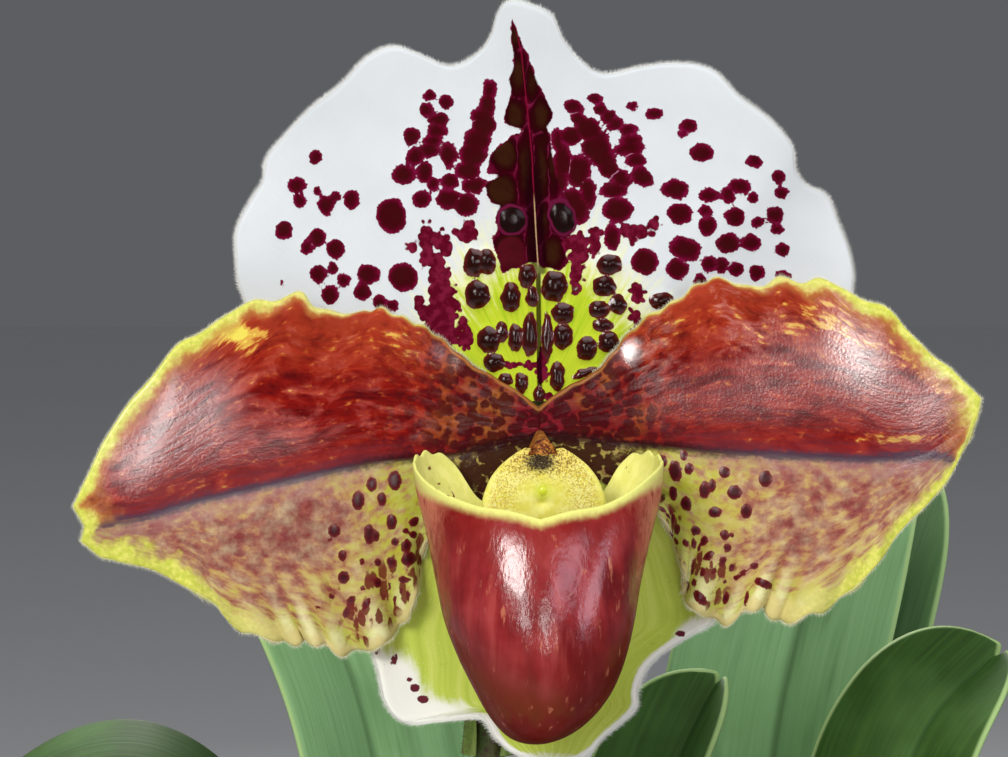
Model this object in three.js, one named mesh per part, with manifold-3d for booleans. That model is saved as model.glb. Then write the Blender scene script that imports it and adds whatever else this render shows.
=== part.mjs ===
// A potted slipper orchid (Paphiopedilum hybrid) in flower.
// Millimetres, +Z up. The origin is the middle of the pot's base; the flower faces -Y.
import * as THREE from 'three';
import { mergeVertices } from 'three/addons/utils/BufferGeometryUtils.js';
import Module from 'manifold-3d';

const wasm = await Module();
wasm.setup();

// ---- Driving dimensions ----
const seatGap = 0.3; // running gap kept where two pieces touch
const pot = { topRadius: 65, baseRadius: 47, height: 108, wall: 4, floor: 6, bandHeight: 20, bandStep: 3 };
const drain = { count: 4, radius: 5, ring: 27 };
const bark = { top: 97, crownRise: 3, edgeDrop: 2, chips: 48, chipReach: 51 };
const crowns = [
  { x: -12, y: 4, bore: 18.2 }, // carries the flower stem
  { x: 30, y: 18, bore: 13.6 },
  { x: 38, y: -15, bore: 13.6 },
];
const rhizome = { stubRadius: 5.1, barRadius: 4.4, bottom: 78, barHeight: 84, top: 106, tipLength: 15, leafFoot: 90 };
const leafThickness = { keel: 1.5, margin: 1.0 };
const flower = { x: 0, y: -45, z: 300, tilt: -5 }; // where the petals meet, and the nod in degrees
const stemRadius = 2.1;
const ovaryRadii = [4.3, 4.0, 3.7, 3.4, 3.1, 2.7];
const sepalThickness = { middle: 1.2, margin: 0.8 };
const petalThickness = { middle: 1.1, margin: 0.8 };
const pouchWall = 1.2;

const radians = THREE.MathUtils.degToRad;
const smooth = THREE.MathUtils.smoothstep;
const mix = THREE.MathUtils.lerp;

// ---- Materials ----
function finish(color, roughness) {
  return new THREE.MeshStandardMaterial({ color, roughness, metalness: 0, side: THREE.DoubleSide });
}
const materials = {
  clay: finish(0xb0623f, 0.85),
  bark: finish(0x6b4229, 0.95),
  rhizome: finish(0x7c6a3a, 0.8),
  leaf: finish(0x3f7a34, 0.45),
  leafPale: finish(0x4f8f5a, 0.45),
  stem: finish(0x4a5a28, 0.7),
  bract: finish(0x6f8a3c, 0.6),
  dorsal: finish(0xf1f0ec, 0.55),
  synsepal: finish(0xb9cf5c, 0.55),
  petal: finish(0x9c3a1c, 0.4),
  pouch: finish(0x8e1f2c, 0.25),
  column: finish(0xe3dc6a, 0.6),
};

const model = new THREE.Group();
const bloom = new THREE.Group();
bloom.position.set(flower.x, flower.y, flower.z);
bloom.rotation.x = radians(flower.tilt);
model.add(bloom);
bloom.updateMatrixWorld(true);

function place(parent, name, geometry, material) {
  const mesh = new THREE.Mesh(geometry, material);
  mesh.name = name;
  parent.add(mesh);
  return mesh;
}

// ---- Shared geometry helpers ----
// Smooth curve through 2-D points, read as a function of 0..1 along the list.
function curveThrough(points) {
  const nodes = points.map(([a, b]) => new THREE.Vector3(a, 0, b));
  const curve = new THREE.CatmullRomCurve3(nodes, false, 'catmullrom', 0.5);
  return (t) => curve.getPoint(THREE.MathUtils.clamp(t, 0, 1));
}

// Smooth list of numbers, read the same way.
function valueThrough(values) {
  const curve = curveThrough(values.map((value, i) => [i, value]));
  return (t) => curve(t).z;
}

function meshFrom(vertices, triangles) {
  const geometry = new THREE.BufferGeometry();
  const flat = vertices.flatMap((p) => [p.x, p.y, p.z]);
  geometry.setAttribute('position', new THREE.Float32BufferAttribute(flat, 3));
  geometry.setIndex(triangles.flat());
  geometry.computeVertexNormals();
  return geometry;
}

// A closed thin solid either side of the sheet surface(row, column), both read over 0..1.
// Both faces are split along the same diagonals, so a waved sheet never crosses itself.
function blade(rowStops, columnStops, surface, halfThickness) {
  const rows = rowStops.length;
  const columns = columnStops.length;
  const middle = rowStops.map((r) => columnStops.map((c) => surface(r, c)));
  const front = [];
  const back = [];
  for (let i = 0; i < rows; i++) {
    for (let j = 0; j < columns; j++) {
      const alongRow = middle[Math.min(i + 1, rows - 1)][j].clone().sub(middle[Math.max(i - 1, 0)][j]);
      const across = middle[i][Math.min(j + 1, columns - 1)].clone().sub(middle[i][Math.max(j - 1, 0)]);
      const normal = alongRow.cross(across).normalize();
      const half = halfThickness(rowStops[i], columnStops[j]);
      front.push(middle[i][j].clone().addScaledVector(normal, half));
      back.push(middle[i][j].clone().addScaledVector(normal, -half));
    }
  }
  const count = rows * columns;
  const at = (i, j) => i * columns + j;
  const triangles = [];
  const strip = (a, b) => triangles.push([a, a + count, b + count], [a, b + count, b]);
  for (let i = 0; i < rows - 1; i++) {
    for (let j = 0; j < columns - 1; j++) {
      const [a, b, c, d] = [at(i, j), at(i + 1, j), at(i + 1, j + 1), at(i, j + 1)];
      triangles.push([a, b, c], [a, c, d]);
      triangles.push([a + count, c + count, b + count], [a + count, d + count, c + count]);
    }
    strip(at(i, 0), at(i + 1, 0));
    strip(at(i + 1, columns - 1), at(i, columns - 1));
  }
  for (let j = 0; j < columns - 1; j++) {
    strip(at(0, j + 1), at(0, j));
    strip(at(rows - 1, j), at(rows - 1, j + 1));
  }
  return meshFrom([...front, ...back], triangles);
}

// A closed tube with flat ends round a curve, its radius given along and round it.
function taperedTube(curve, steps, sides, radius) {
  const frames = curve.computeFrenetFrames(steps, false);
  const vertices = [];
  for (let i = 0; i <= steps; i++) {
    const centre = curve.getPoint(i / steps);
    for (let k = 0; k < sides; k++) {
      const angle = (2 * Math.PI * k) / sides;
      const r = radius(i / steps, angle);
      const point = centre.clone().addScaledVector(frames.normals[i], r * Math.cos(angle));
      vertices.push(point.addScaledVector(frames.binormals[i], r * Math.sin(angle)));
    }
  }
  const first = vertices.push(curve.getPoint(0)) - 1;
  const last = vertices.push(curve.getPoint(1)) - 1;
  const triangles = [];
  for (let k = 0; k < sides; k++) {
    const next = (k + 1) % sides;
    for (let i = 0; i < steps; i++) {
      const [a, b] = [i * sides + k, i * sides + next];
      triangles.push([a, b, b + sides], [a, b + sides, a + sides]);
    }
    triangles.push([first, next, k], [last, steps * sides + k, steps * sides + next]);
  }
  return meshFrom(vertices, triangles);
}

function toSolid(geometry) {
  const bare = geometry.clone();
  bare.deleteAttribute('normal');
  bare.deleteAttribute('uv');
  const merged = mergeVertices(bare, 1e-4);
  const vertProperties = new Float32Array(merged.attributes.position.array);
  const triVerts = new Uint32Array(merged.index.array);
  return new wasm.Manifold(new wasm.Mesh({ numProp: 3, vertProperties, triVerts }));
}

function toGeometry(solid) {
  const mesh = solid.getMesh();
  const geometry = new THREE.BufferGeometry();
  geometry.setAttribute('position', new THREE.Float32BufferAttribute(Array.from(mesh.vertProperties), 3));
  geometry.setIndex(Array.from(mesh.triVerts));
  geometry.computeVertexNormals();
  return geometry;
}

// The largest body of a solid, so that no loose scrap of a cut is kept.
function largestBody(solid) {
  const bodies = solid.decompose();
  return bodies.reduce((best, body) => (body.volume() > best.volume() ? body : best));
}

function moved(geometry, x, y, z) {
  return geometry.clone().translate(x, y, z);
}

// An upright cylinder between two heights.
function upright(radius, bottom, top, sides, x, y) {
  const cylinder = new THREE.CylinderGeometry(radius, radius, top - bottom, sides);
  cylinder.rotateX(Math.PI / 2);
  return toSolid(moved(cylinder, x, y, (bottom + top) / 2));
}

function stops(count, bend = 1) {
  return Array.from({ length: count + 1 }, (_, i) => 1 - (1 - i / count) ** bend);
}

// Repeatable random numbers in 0..1.
function seeded(seed) {
  let state = seed;
  return () => {
    state = (state * 1664525 + 1013904223) % 4294967296;
    return state / 4294967296;
  };
}

// ---- Pot and its filling ----
function innerRadius(z) {
  return mix(pot.baseRadius, pot.topRadius - pot.bandStep, z / pot.height) - pot.wall;
}

function makePot() {
  const { baseRadius, topRadius, height, wall, floor, bandHeight, bandStep } = pot;
  const bandFoot = height - bandHeight;
  const bodyRadius = (z) => mix(baseRadius, topRadius - bandStep, z / height);
  const profile = [
    [0, 0],
    [baseRadius - 1.5, 0],
    [baseRadius, 1.5],
    [bodyRadius(bandFoot - 2), bandFoot - 2],
    [topRadius - 1.2, bandFoot],
    [topRadius, height - 2],
    [topRadius - 1.5, height],
    [topRadius - bandStep - wall + 0.8, height],
    [innerRadius(height - 2), height - 2],
    [innerRadius(floor), floor],
    [0, floor],
  ].map(([r, z]) => new THREE.Vector2(r, z));
  const turned = new THREE.LatheGeometry(profile, 36);
  turned.rotateX(Math.PI / 2);
  let body = toSolid(turned);
  for (let k = 0; k < drain.count; k++) {
    const angle = (2 * Math.PI * (k + 0.5)) / drain.count;
    const [x, y] = [drain.ring * Math.cos(angle), drain.ring * Math.sin(angle)];
    body = body.subtract(upright(drain.radius, -1, floor + 1, 12, x, y));
  }
  place(model, 'pot', toGeometry(body), materials.clay);
}

// Three short upright stems on one creeping rhizome; extra grows it all round.
// The flower stem stands on the first, and the other two end in a pointed growing tip.
function rhizomeSolid(extra) {
  const { stubRadius, barRadius, bottom, barHeight, top, tipLength } = rhizome;
  const parts = crowns.map(({ x, y }) => upright(stubRadius + extra, bottom - extra, top, 16, x, y));
  for (const { x, y } of crowns.slice(1)) {
    const tip = new THREE.CylinderGeometry(0.8, stubRadius, tipLength, 16);
    tip.rotateX(Math.PI / 2);
    parts.push(toSolid(moved(tip, x, y, top + tipLength / 2 - 0.01)));
  }
  for (let k = 0; k < crowns.length - 1; k++) {
    const from = new THREE.Vector3(crowns[k].x, crowns[k].y, barHeight);
    const to = new THREE.Vector3(crowns[k + 1].x, crowns[k + 1].y, barHeight);
    const bar = new THREE.CylinderGeometry(barRadius + extra, barRadius + extra, from.distanceTo(to), 12);
    bar.applyQuaternion(new THREE.Quaternion().setFromUnitVectors(
      new THREE.Vector3(0, 1, 0),
      to.clone().sub(from).normalize(),
    ));
    const middle = from.clone().add(to).multiplyScalar(0.5);
    parts.push(toSolid(moved(bar, middle.x, middle.y, middle.z)));
  }
  return wasm.Manifold.union(parts);
}

// Bark chips lie about on the mound, sunk by half, and the growths stand in plain holes.
function makeBark() {
  const reach = (z) => innerRadius(z) - seatGap;
  const foot = pot.floor + seatGap;
  const profile = [
    [0, foot],
    [reach(foot), foot],
    [reach(bark.top - bark.edgeDrop), bark.top - bark.edgeDrop],
    [reach(bark.top) * 0.6, bark.top],
    [0, bark.top + bark.crownRise],
  ].map(([r, z]) => new THREE.Vector2(r, z));
  const mound = new THREE.LatheGeometry(profile, 30);
  mound.rotateX(Math.PI / 2);
  const random = seeded(11);
  const parts = [toSolid(mound)];
  for (let k = 0; k < bark.chips; k++) {
    const angle = k * 2.39996; // golden angle, so the chips spread evenly
    const radius = bark.chipReach * Math.sqrt((k + 0.5) / bark.chips);
    const size = [mix(10, 17, random()), mix(6, 10, random()), mix(4, 6, random())];
    const chip = new THREE.BoxGeometry(...size);
    chip.rotateX(mix(-0.35, 0.35, random()));
    chip.rotateY(mix(-0.3, 0.3, random()));
    chip.rotateZ(random() * Math.PI * 2);
    const height = bark.top + bark.crownRise * (1 - radius / bark.chipReach);
    chip.translate(radius * Math.cos(angle), radius * Math.sin(angle), height);
    parts.push(toSolid(chip));
  }
  const potHollow = new THREE.LatheGeometry([
    [0, foot],
    [reach(foot), foot],
    [reach(pot.height), pot.height],
    [0, pot.height],
  ].map(([r, z]) => new THREE.Vector2(r, z)), 30);
  potHollow.rotateX(Math.PI / 2);
  let body = wasm.Manifold.union(parts).intersect(toSolid(potHollow)).subtract(rhizomeSolid(seatGap));
  for (const { x, y, bore } of crowns) {
    body = body.subtract(upright(bore, rhizome.leafFoot - 1, pot.height, 24, x, y));
  }
  place(model, 'potting_bark', toGeometry(largestBody(body)), materials.bark);
  place(model, 'rhizome', toGeometry(rhizomeSolid(0)), materials.rhizome);
}

// ---- Leaves ----
// Each leaf folds round its growth's axis at the foot, at its own nesting radius, and opens to a
// keeled strap higher up. The spine lists [distance from the axis, height] from foot to tip;
// azimuth is the way the leaf leans and roll the twist of its upper half, in degrees.
const nest = (k) => 6.3 + 2.3 * k;
const leaves = [
  { name: 'leaf_left_tall', crown: 0, nest: 1, azimuth: 138, half: 21, fold: 24, roll: 0, pale: true,
    spine: [[150, 9.5], [205, 13], [243, 19], [268, 33], [284, 52]] },
  { name: 'leaf_left_arching', crown: 0, nest: 2, azimuth: 184, half: 18, fold: 20, roll: 0,
    spine: [[140, 14.5], [192, 23.5], [228, 32], [242, 47], [237, 66], [215, 86]] },
  { name: 'leaf_left_low', crown: 0, nest: 3, azimuth: 222, half: 19, fold: 20, roll: 0,
    spine: [[130, 17], [166, 32], [188, 58], [176, 88], [140, 106]] },
  { name: 'leaf_right_young', crown: 0, nest: 0, azimuth: 6, half: 14, fold: 36, roll: 35,
    spine: [[146, 10], [190, 20], [220, 28], [241, 34], [256, 41]] },
  { name: 'leaf_front_low', crown: 0, nest: 4, azimuth: 285, half: 18, fold: 20, roll: 0,
    spine: [[124, 19], [152, 34], [166, 56], [156, 80], [130, 98]] },
  { name: 'leaf_right_tall', crown: 1, nest: 0, azimuth: 50, half: 21, fold: 22, roll: 0, pale: true,
    spine: [[150, 7.6], [205, 10], [243, 15], [270, 27], [289, 42]] },
  { name: 'leaf_right_upright', crown: 1, nest: 1, azimuth: 46, half: 18, fold: 24, roll: 0,
    spine: [[145, 11], [198, 19], [236, 28], [262, 38], [283, 50]] },
  { name: 'leaf_back', crown: 1, nest: 2, azimuth: 128, half: 19, fold: 22, roll: 0,
    spine: [[132, 13], [170, 23], [198, 40], [208, 66], [198, 94]] },
  { name: 'leaf_right_spreading', crown: 2, nest: 0, azimuth: 4, half: 15, fold: 26, roll: 35,
    spine: [[150, 8], [200, 9.5], [232, 12.5], [252, 19], [264, 30]] },
  { name: 'leaf_right_arching', crown: 2, nest: 1, azimuth: 332, half: 18, fold: 22, roll: 0,
    spine: [[146, 13], [196, 20], [231, 34], [248, 57], [242, 84]] },
  { name: 'leaf_right_low', crown: 2, nest: 2, azimuth: 296, half: 17, fold: 20, roll: 0,
    spine: [[126, 15], [150, 28], [160, 50], [150, 74], [122, 92]] },
];

// A section of constant curl either side of the keel, starting at the fold angle.
function sectionPoint(width, fold, curl) {
  const reach = Math.abs(width);
  if (Math.abs(curl) < 1e-4) return [width * Math.cos(fold), reach * Math.sin(fold)];
  const across = (Math.sin(fold + curl * reach) - Math.sin(fold)) / curl;
  const rise = (Math.cos(fold) - Math.cos(fold + curl * reach)) / curl;
  return [Math.sign(width) * across, rise];
}

function leafSurface(leaf) {
  const { x, y } = crowns[leaf.crown];
  const footRadius = nest(leaf.nest);
  const footHalf = Math.min(footRadius * radians(80), 14);
  const spine = curveThrough([
    [footRadius, rhizome.leafFoot],
    [footRadius, (rhizome.leafFoot + 112) / 2],
    [footRadius, 112],
    ...leaf.spine.map(([height, radius]) => [radius, height]),
  ]);
  const outward = new THREE.Vector3(Math.cos(radians(leaf.azimuth)), Math.sin(radians(leaf.azimuth)), 0);
  const side = outward.clone().cross(new THREE.Vector3(0, 0, 1));
  const step = 0.004;
  return (t, column) => {
    const s = column * 2 - 1;
    const opened = smooth(t, 0.26, 0.62);
    const taper = Math.sqrt(Math.max(0.012, 1 - Math.max(0, (t - 0.78) / 0.22) ** 2.4));
    const half = mix(footHalf, leaf.half, smooth(t, 0.2, 0.62)) * taper;
    const fold = radians(leaf.fold) * opened;
    const curl = mix(1 / footRadius, -0.012, opened);
    const [across, rise] = sectionPoint(s * half, fold, curl);
    const notch = 0.012 * Math.exp(-((s / 0.35) ** 2)) * smooth(t, 0.9, 1);
    const here = spine(t - notch);
    const ahead = spine(Math.min(t + step, 1)).sub(spine(Math.max(t - step, 0)));
    const tangent = outward.clone().multiplyScalar(ahead.x).setZ(ahead.z).normalize();
    const inward = side.clone().cross(tangent).normalize();
    const twist = radians(leaf.roll) * smooth(t, 0.35, 0.8);
    return new THREE.Vector3(x, y, here.z)
      .addScaledVector(outward, here.x)
      .addScaledVector(side, across * Math.cos(twist) + rise * Math.sin(twist))
      .addScaledVector(inward, rise * Math.cos(twist) - across * Math.sin(twist));
  };
}

function makeLeaves() {
  const rows = stops(13, 1.25);
  const columns = stops(6);
  const half = (t, column) => {
    const out = Math.abs(column * 2 - 1);
    return mix(leafThickness.keel, leafThickness.margin, out ** 2) / 2;
  };
  for (const leaf of leaves) {
    const material = leaf.pale ? materials.leafPale : materials.leaf;
    place(model, leaf.name, blade(rows, columns, leafSurface(leaf), half), material);
  }
}

// ---- Flower stem, bract and ovary ----
function bloomPoint(x, y, z) {
  return bloom.localToWorld(new THREE.Vector3(x, y, z));
}

function makeStem() {
  const ovaryFoot = new THREE.Vector3(-6, 18.5, -36);
  const ovaryPath = new THREE.CatmullRomCurve3([
    new THREE.Vector3(0, 3.1, 0),
    new THREE.Vector3(0, 7, 0),
    new THREE.Vector3(-1.2, 14, -6),
    new THREE.Vector3(-4, 18, -22),
    ovaryFoot,
  ], false, 'catmullrom', 0.5);
  const girth = valueThrough(ovaryRadii);
  const ribbed = (t, angle) => girth(t) * (1 + 0.05 * Math.cos(3 * angle) * Math.sin(Math.PI * t));
  place(bloom, 'ovary', taperedTube(ovaryPath, 14, 12, ribbed), materials.stem);

  const top = bloomPoint(ovaryFoot.x, ovaryFoot.y + 0.03, ovaryFoot.z - seatGap);
  const { x, y } = crowns[0];
  const stemPath = new THREE.CatmullRomCurve3([
    new THREE.Vector3(x, y, rhizome.top + seatGap),
    new THREE.Vector3(x, y, 125),
    new THREE.Vector3(x + 0.5, y - 5, 165),
    new THREE.Vector3(x + 2, y - 14, 205),
    bloomPoint(-8, 19, -62),
    bloomPoint(-6.9, 18.7, -47),
    top,
  ], false, 'catmullrom', 0.5);
  place(model, 'flower_stem', taperedTube(stemPath, 26, 10, () => stemRadius), materials.stem);

  // The bract sheathes the joint of stem and ovary and ends in a point behind it.
  const bractLength = 27;
  const wrap = (t, column) => {
    const s = column * 2 - 1;
    const radius = 3.35 + 1.1 * smooth(t, 0.1, 0.9);
    const angle = s * radians(mix(150, 25, t ** 1.6)) + Math.PI / 2;
    const height = -46 + bractLength * t;
    const lean = 18.9 + 1.6 * t * t;
    return new THREE.Vector3(-7 + 2.6 * t + radius * Math.cos(angle), lean + radius * Math.sin(angle), height);
  };
  place(bloom, 'bract', blade(stops(7), stops(8), wrap, () => 0.35), materials.bract);
}

// ---- Flower: [x, z] outlines in the plane facing the viewer, y is depth ----
const dorsalMargin = [
  [-6, 3.8], [-12.5, 5.2], [-21.5, 8.5], [-30.5, 11], [-37.5, 14], [-40, 18], [-40.5, 22], [-40.5, 26],
  [-38.5, 30], [-37, 32.5], [-36.5, 35.5], [-34, 38.5], [-30.5, 42], [-26.5, 45], [-23, 48.5],
  [-19.5, 50], [-16, 49], [-12, 47.5], [-8.5, 49], [-6.5, 51.5], [-5.5, 54.5], [-4, 56], [-1.5, 55.5],
  [1.5, 54], [3, 51], [5.5, 48], [8.5, 46.5], [13.5, 47.5], [18.5, 48], [23, 47], [26.5, 43.5],
  [30.5, 40.5], [33.5, 37], [34, 34], [35.5, 32], [38.5, 30.5], [40, 27], [41.5, 23], [42, 19],
  [40.5, 15], [34.5, 11], [25.5, 8], [13.5, 5.2], [6, 3.8],
];
// Glossy warts at the foot of the upper sepal: [x, z, radius].
const warts = [
  [-7.9, 21.4, 2.2], [-8.3, 17.2, 1.9], [-3.8, 16.9, 1.6], [-1.2, 20.2, 1.5], [1.9, 18, 1.8],
  [3.4, 14.6, 1.5], [3.2, 11.1, 1.5], [-0.7, 13.4, 1.7], [-3.7, 11.6, 1.5], [-7, 11.4, 1.7],
  [-6.1, 8.1, 1.4], [-2.4, 6.2, 1.2], [2.3, 6.6, 1.5], [6.3, 6.9, 1.3], [6.4, 10, 1.6],
  [9.7, 11.1, 1.4], [8.2, 13.6, 1.2], [11.2, 14.8, 1.3], [8.5, 18, 1.6], [9.4, 21.6, 1.6],
  [16.2, 16.4, 1.6], [-3.8, 27.5, 1.6],
];

function dorsalSurface() {
  const margin = curveThrough(dorsalMargin);
  return (out, around) => {
    const rim = margin(around);
    const foot = new THREE.Vector3(mix(-2.5, 2.5, around), 0, 3);
    const size = rim.distanceTo(foot) / 45;
    const point = foot.lerp(rim, out);
    const forward = Math.sin(Math.PI * around) ** 2;
    const wave = 0.9 * out ** 4 * Math.sin(10 * Math.PI * around + 0.6);
    point.y = 2.1 + size * (5 * out - (1.5 + 5.5 * forward) * out ** 2 + wave);
    return point;
  };
}

// Depth of the sheet below a point of the plane, found on the ray that passes nearest to it.
function depthAt(surface, x, z) {
  let best = { miss: Infinity, y: 0 };
  for (let k = 0; k <= 400; k++) {
    const from = surface(0, k / 400);
    const ray = surface(1, k / 400).sub(from).setY(0);
    const offset = new THREE.Vector3(x - from.x, 0, z - from.z);
    const out = offset.dot(ray) / ray.lengthSq();
    const miss = offset.addScaledVector(ray, -out).length();
    if (miss < best.miss) best = { miss, y: surface(out, k / 400).y };
  }
  return best.y;
}

function makeDorsalSepal() {
  const surface = dorsalSurface();
  const half = (out) => mix(sepalThickness.middle, sepalThickness.margin, out ** 2) / 2;
  const sheet = blade(stops(7, 1.15), stops(42), surface, half);
  const parts = [toSolid(sheet)];
  for (const [x, z, radius] of warts) {
    const dome = new THREE.SphereGeometry(radius, 6, 3);
    dome.rotateX(Math.PI / 2);
    dome.scale(0.82, 0.72, 1.1);
    parts.push(toSolid(moved(dome, x, depthAt(surface, x, z) - 0.35, z)));
  }
  place(bloom, 'dorsal_sepal', toGeometry(wasm.Manifold.union(parts)), materials.dorsal);
}

const synsepalLeft = [
  [-4.5, -2], [-9.5, -6], [-14, -11], [-17.5, -16], [-20, -22], [-22.5, -28.5], [-21.5, -33],
  [-20.5, -37], [-18, -39.5], [-13.5, -39], [-8, -38.5], [-6, -41], [-3.5, -43], [-0.5, -44],
];
const synsepalRight = [
  [4, -2], [8, -5], [13.5, -9], [19, -13.5], [22, -19.5], [23.5, -25.5], [20, -28],
  [15, -31.5], [13, -35], [12.5, -37.5], [8.5, -41], [6, -43.5], [2.5, -44.5],
];

function makeSynsepal() {
  const left = curveThrough(synsepalLeft);
  const right = curveThrough(synsepalRight);
  const surface = (down, across) => {
    const point = left(down).lerp(right(down), across);
    const s = across * 2 - 1;
    const hollow = 3.4 * Math.sin(Math.PI * down) ** 1.5;
    const wave = 0.7 * Math.abs(s) ** 3 * Math.sin(7 * Math.PI * down + (s > 0 ? 1 : 0));
    point.y = 2.1 + hollow - 7 * down ** 2.4 - 2.4 * s * s * Math.sin(Math.PI * down) + wave;
    return point;
  };
  const half = (down, across) => mix(sepalThickness.middle, sepalThickness.margin, (across * 2 - 1) ** 2) / 2;
  place(bloom, 'synsepal', blade(stops(15), stops(10), surface, half), materials.synsepal);
}

const petals = {
  petal_left: {
    upper: [[-0.5, 2], [-3, 4.5], [-6.5, 6.5], [-10, 9], [-13, 11], [-15.5, 13], [-18, 14.5], [-21, 15.5],
      [-24, 14.5], [-28.5, 15.5], [-32.5, 17], [-38, 16], [-43.5, 13], [-49, 8.5], [-54.5, 1.5],
      [-58, -5], [-60.5, -10.5]],
    midrib: [[-2, -1.5], [-11.5, -4], [-22.5, -5], [-34, -7.5], [-45, -10], [-52, -12], [-59, -13]],
    lower: [[-3, -4], [-6, -8.5], [-10.5, -12.5], [-14.5, -15], [-16, -19], [-16.5, -23.5],
      [-18.5, -27.5], [-21.5, -29.5], [-26, -30], [-30, -29], [-34.5, -28.5], [-39, -27],
      [-43.5, -23], [-48, -20], [-53.5, -18], [-57, -17], [-59.5, -15]],
  },
  petal_right: {
    upper: [[0.5, 2.5], [3.5, 5], [6.5, 6.5], [9, 9], [11.5, 11.5], [14.5, 14.5], [17.5, 16.5],
      [20.5, 18.5], [24, 19], [28, 18.5], [32.5, 19], [37, 19], [41.5, 17], [46.5, 14],
      [50.5, 9.5], [54, 6.5], [57, 3.5]],
    midrib: [[2, -1.5], [12, -2.5], [22, -3.5], [32.5, -4], [42.5, -4.5], [49.5, -4], [56.5, 1]],
    lower: [[3, -4], [6.5, -6.5], [11, -9.5], [15.5, -12], [18, -16], [19, -20], [19, -23.5],
      [21, -25], [24.5, -26], [28.5, -24.5], [32.5, -26], [36.5, -24.5], [40.5, -22],
      [44.5, -17], [48.5, -12], [52.5, -7.5], [55.5, -1.5]],
  },
};

// u runs from the foot to the tip and v from the lower edge (-1) over the midrib (0) to the upper (1).
function petalSurface({ upper, midrib, lower }) {
  const top = curveThrough(upper);
  const middle = curveThrough(midrib);
  const bottom = curveThrough(lower);
  return (u, column) => {
    const v = column * 2 - 1;
    const edge = v > 0 ? top(u) : bottom(u);
    const out = Math.abs(v);
    const point = middle(u).lerp(edge, out);
    const lift = Math.sin(Math.PI * u) ** 1.5;
    const pleats = smooth(u, 0.08, 0.22) * (1 - smooth(u, 0.72, 0.92));
    const ruffle = v > 0
      ? 0.8 * Math.sin(9 * Math.PI * u + 1)
      : 1.7 * Math.sin(17 * Math.PI * u + 0.8);
    const groove = 0.5 * Math.exp(-((v / 0.1) ** 2)) * (1 - u);
    point.y = 0.7 - 9 * u ** 1.4 + (v > 0 ? 3 : 2) * lift * out ** 2 + groove * lift;
    point.y += ruffle * pleats * out ** 3;
    return point;
  };
}

function makePetals() {
  const half = (u, column) => mix(petalThickness.middle, petalThickness.margin, (column * 2 - 1) ** 2) / 2;
  const columns = [0, 0.06, 0.16, 0.28, 0.4, 0.5, 0.6, 0.75, 0.9, 1];
  for (const [name, outline] of Object.entries(petals)) {
    place(bloom, name, blade(stops(26), columns, petalSurface(outline), half), materials.petal);
  }
}

// The pouch is read by depth: the four lists run from its brim's highest point down to the toe.
const pouch = {
  top: -2.5,
  toe: -39.5,
  halfWidth: [16.3, 15.6, 14.2, 13, 12, 10.6, 8.9, 7, 4.9, 2.6, 0],
  shift: [-0.5, -0.3, -0.3, -0.4, -0.3, 0, 0.2, 0, -0.4, -0.8, -0.9],
  front: [-24, -26.5, -28.5, -30, -30.8, -31, -30.5, -29, -27, -24.2, -20.5],
  back: [2.2, -0.7, -2.2, -3.6, -5, -6.6, -8.6, -11, -13.6, -16.6, -20.5],
  // Brim height from the front middle round to the back, every 15 degrees.
  brim: [-11.3, -11.1, -10.5, -9.4, -8, -6.4, -4.4, -2.9, -3.2, -7.5, -10.6, -9.4, -4.4],
};

function makeLabellum() {
  const [halfWidth, shift, front, back, brim] = [
    pouch.halfWidth, pouch.shift, pouch.front, pouch.back, pouch.brim,
  ].map(valueThrough);
  const drop = pouch.toe - pouch.top;
  const depthOf = (z) => (2 / Math.PI) * Math.asin(THREE.MathUtils.clamp((z - pouch.top) / drop, 0, 1));
  const wall = (angle, down) => {
    const start = depthOf(brim(Math.abs(angle) / Math.PI));
    const t = mix(start, 1, down);
    const middle = (front(t) + back(t)) / 2;
    const reach = (back(t) - front(t)) / 2;
    return new THREE.Vector3(
      shift(t) + halfWidth(t) * Math.sin(angle),
      middle - reach * Math.cos(angle),
      pouch.top + drop * Math.sin((Math.PI / 2) * t),
    );
  };
  const around = 28;
  const downStops = [0, 0.07, 0.16, 0.27, 0.39, 0.51, 0.63, 0.75, 0.86, 0.95];
  const angleOf = (k) => (2 * Math.PI * k) / around - Math.PI;
  const outer = [];
  const inner = [];
  for (const down of downStops) {
    for (let k = 0; k < around; k++) {
      const point = wall(angleOf(k), down);
      const round = wall(angleOf(k) + 0.02, down).sub(wall(angleOf(k) - 0.02, down));
      const fall = wall(angleOf(k), Math.min(down + 0.01, 1)).sub(wall(angleOf(k), Math.max(down - 0.01, 0)));
      const inwards = round.cross(fall).normalize();
      outer.push(point);
      inner.push(point.clone().addScaledVector(inwards, pouchWall));
    }
  }
  const rings = downStops.length;
  const count = outer.length;
  const vertices = [...outer, ...inner];
  const toe = wall(0, 1);
  const outerToe = vertices.push(toe) - 1;
  const innerToe = vertices.push(toe.clone().setZ(toe.z + pouchWall)) - 1;
  const triangles = [];
  for (let k = 0; k < around; k++) {
    const next = (k + 1) % around;
    for (let i = 0; i < rings - 1; i++) {
      const [a, b, c, d] = [i * around + k, (i + 1) * around + k, (i + 1) * around + next, i * around + next];
      triangles.push([a, b, c], [a, c, d]);
      triangles.push([a + count, c + count, b + count], [a + count, d + count, c + count]);
    }
    const [p, q] = [(rings - 1) * around + k, (rings - 1) * around + next];
    triangles.push([p, outerToe, q], [p + count, q + count, innerToe]);
    triangles.push([k, next, next + count], [k, next + count, k + count]);
  }
  place(bloom, 'labellum', meshFrom(vertices, triangles), materials.pouch);
}

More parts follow.
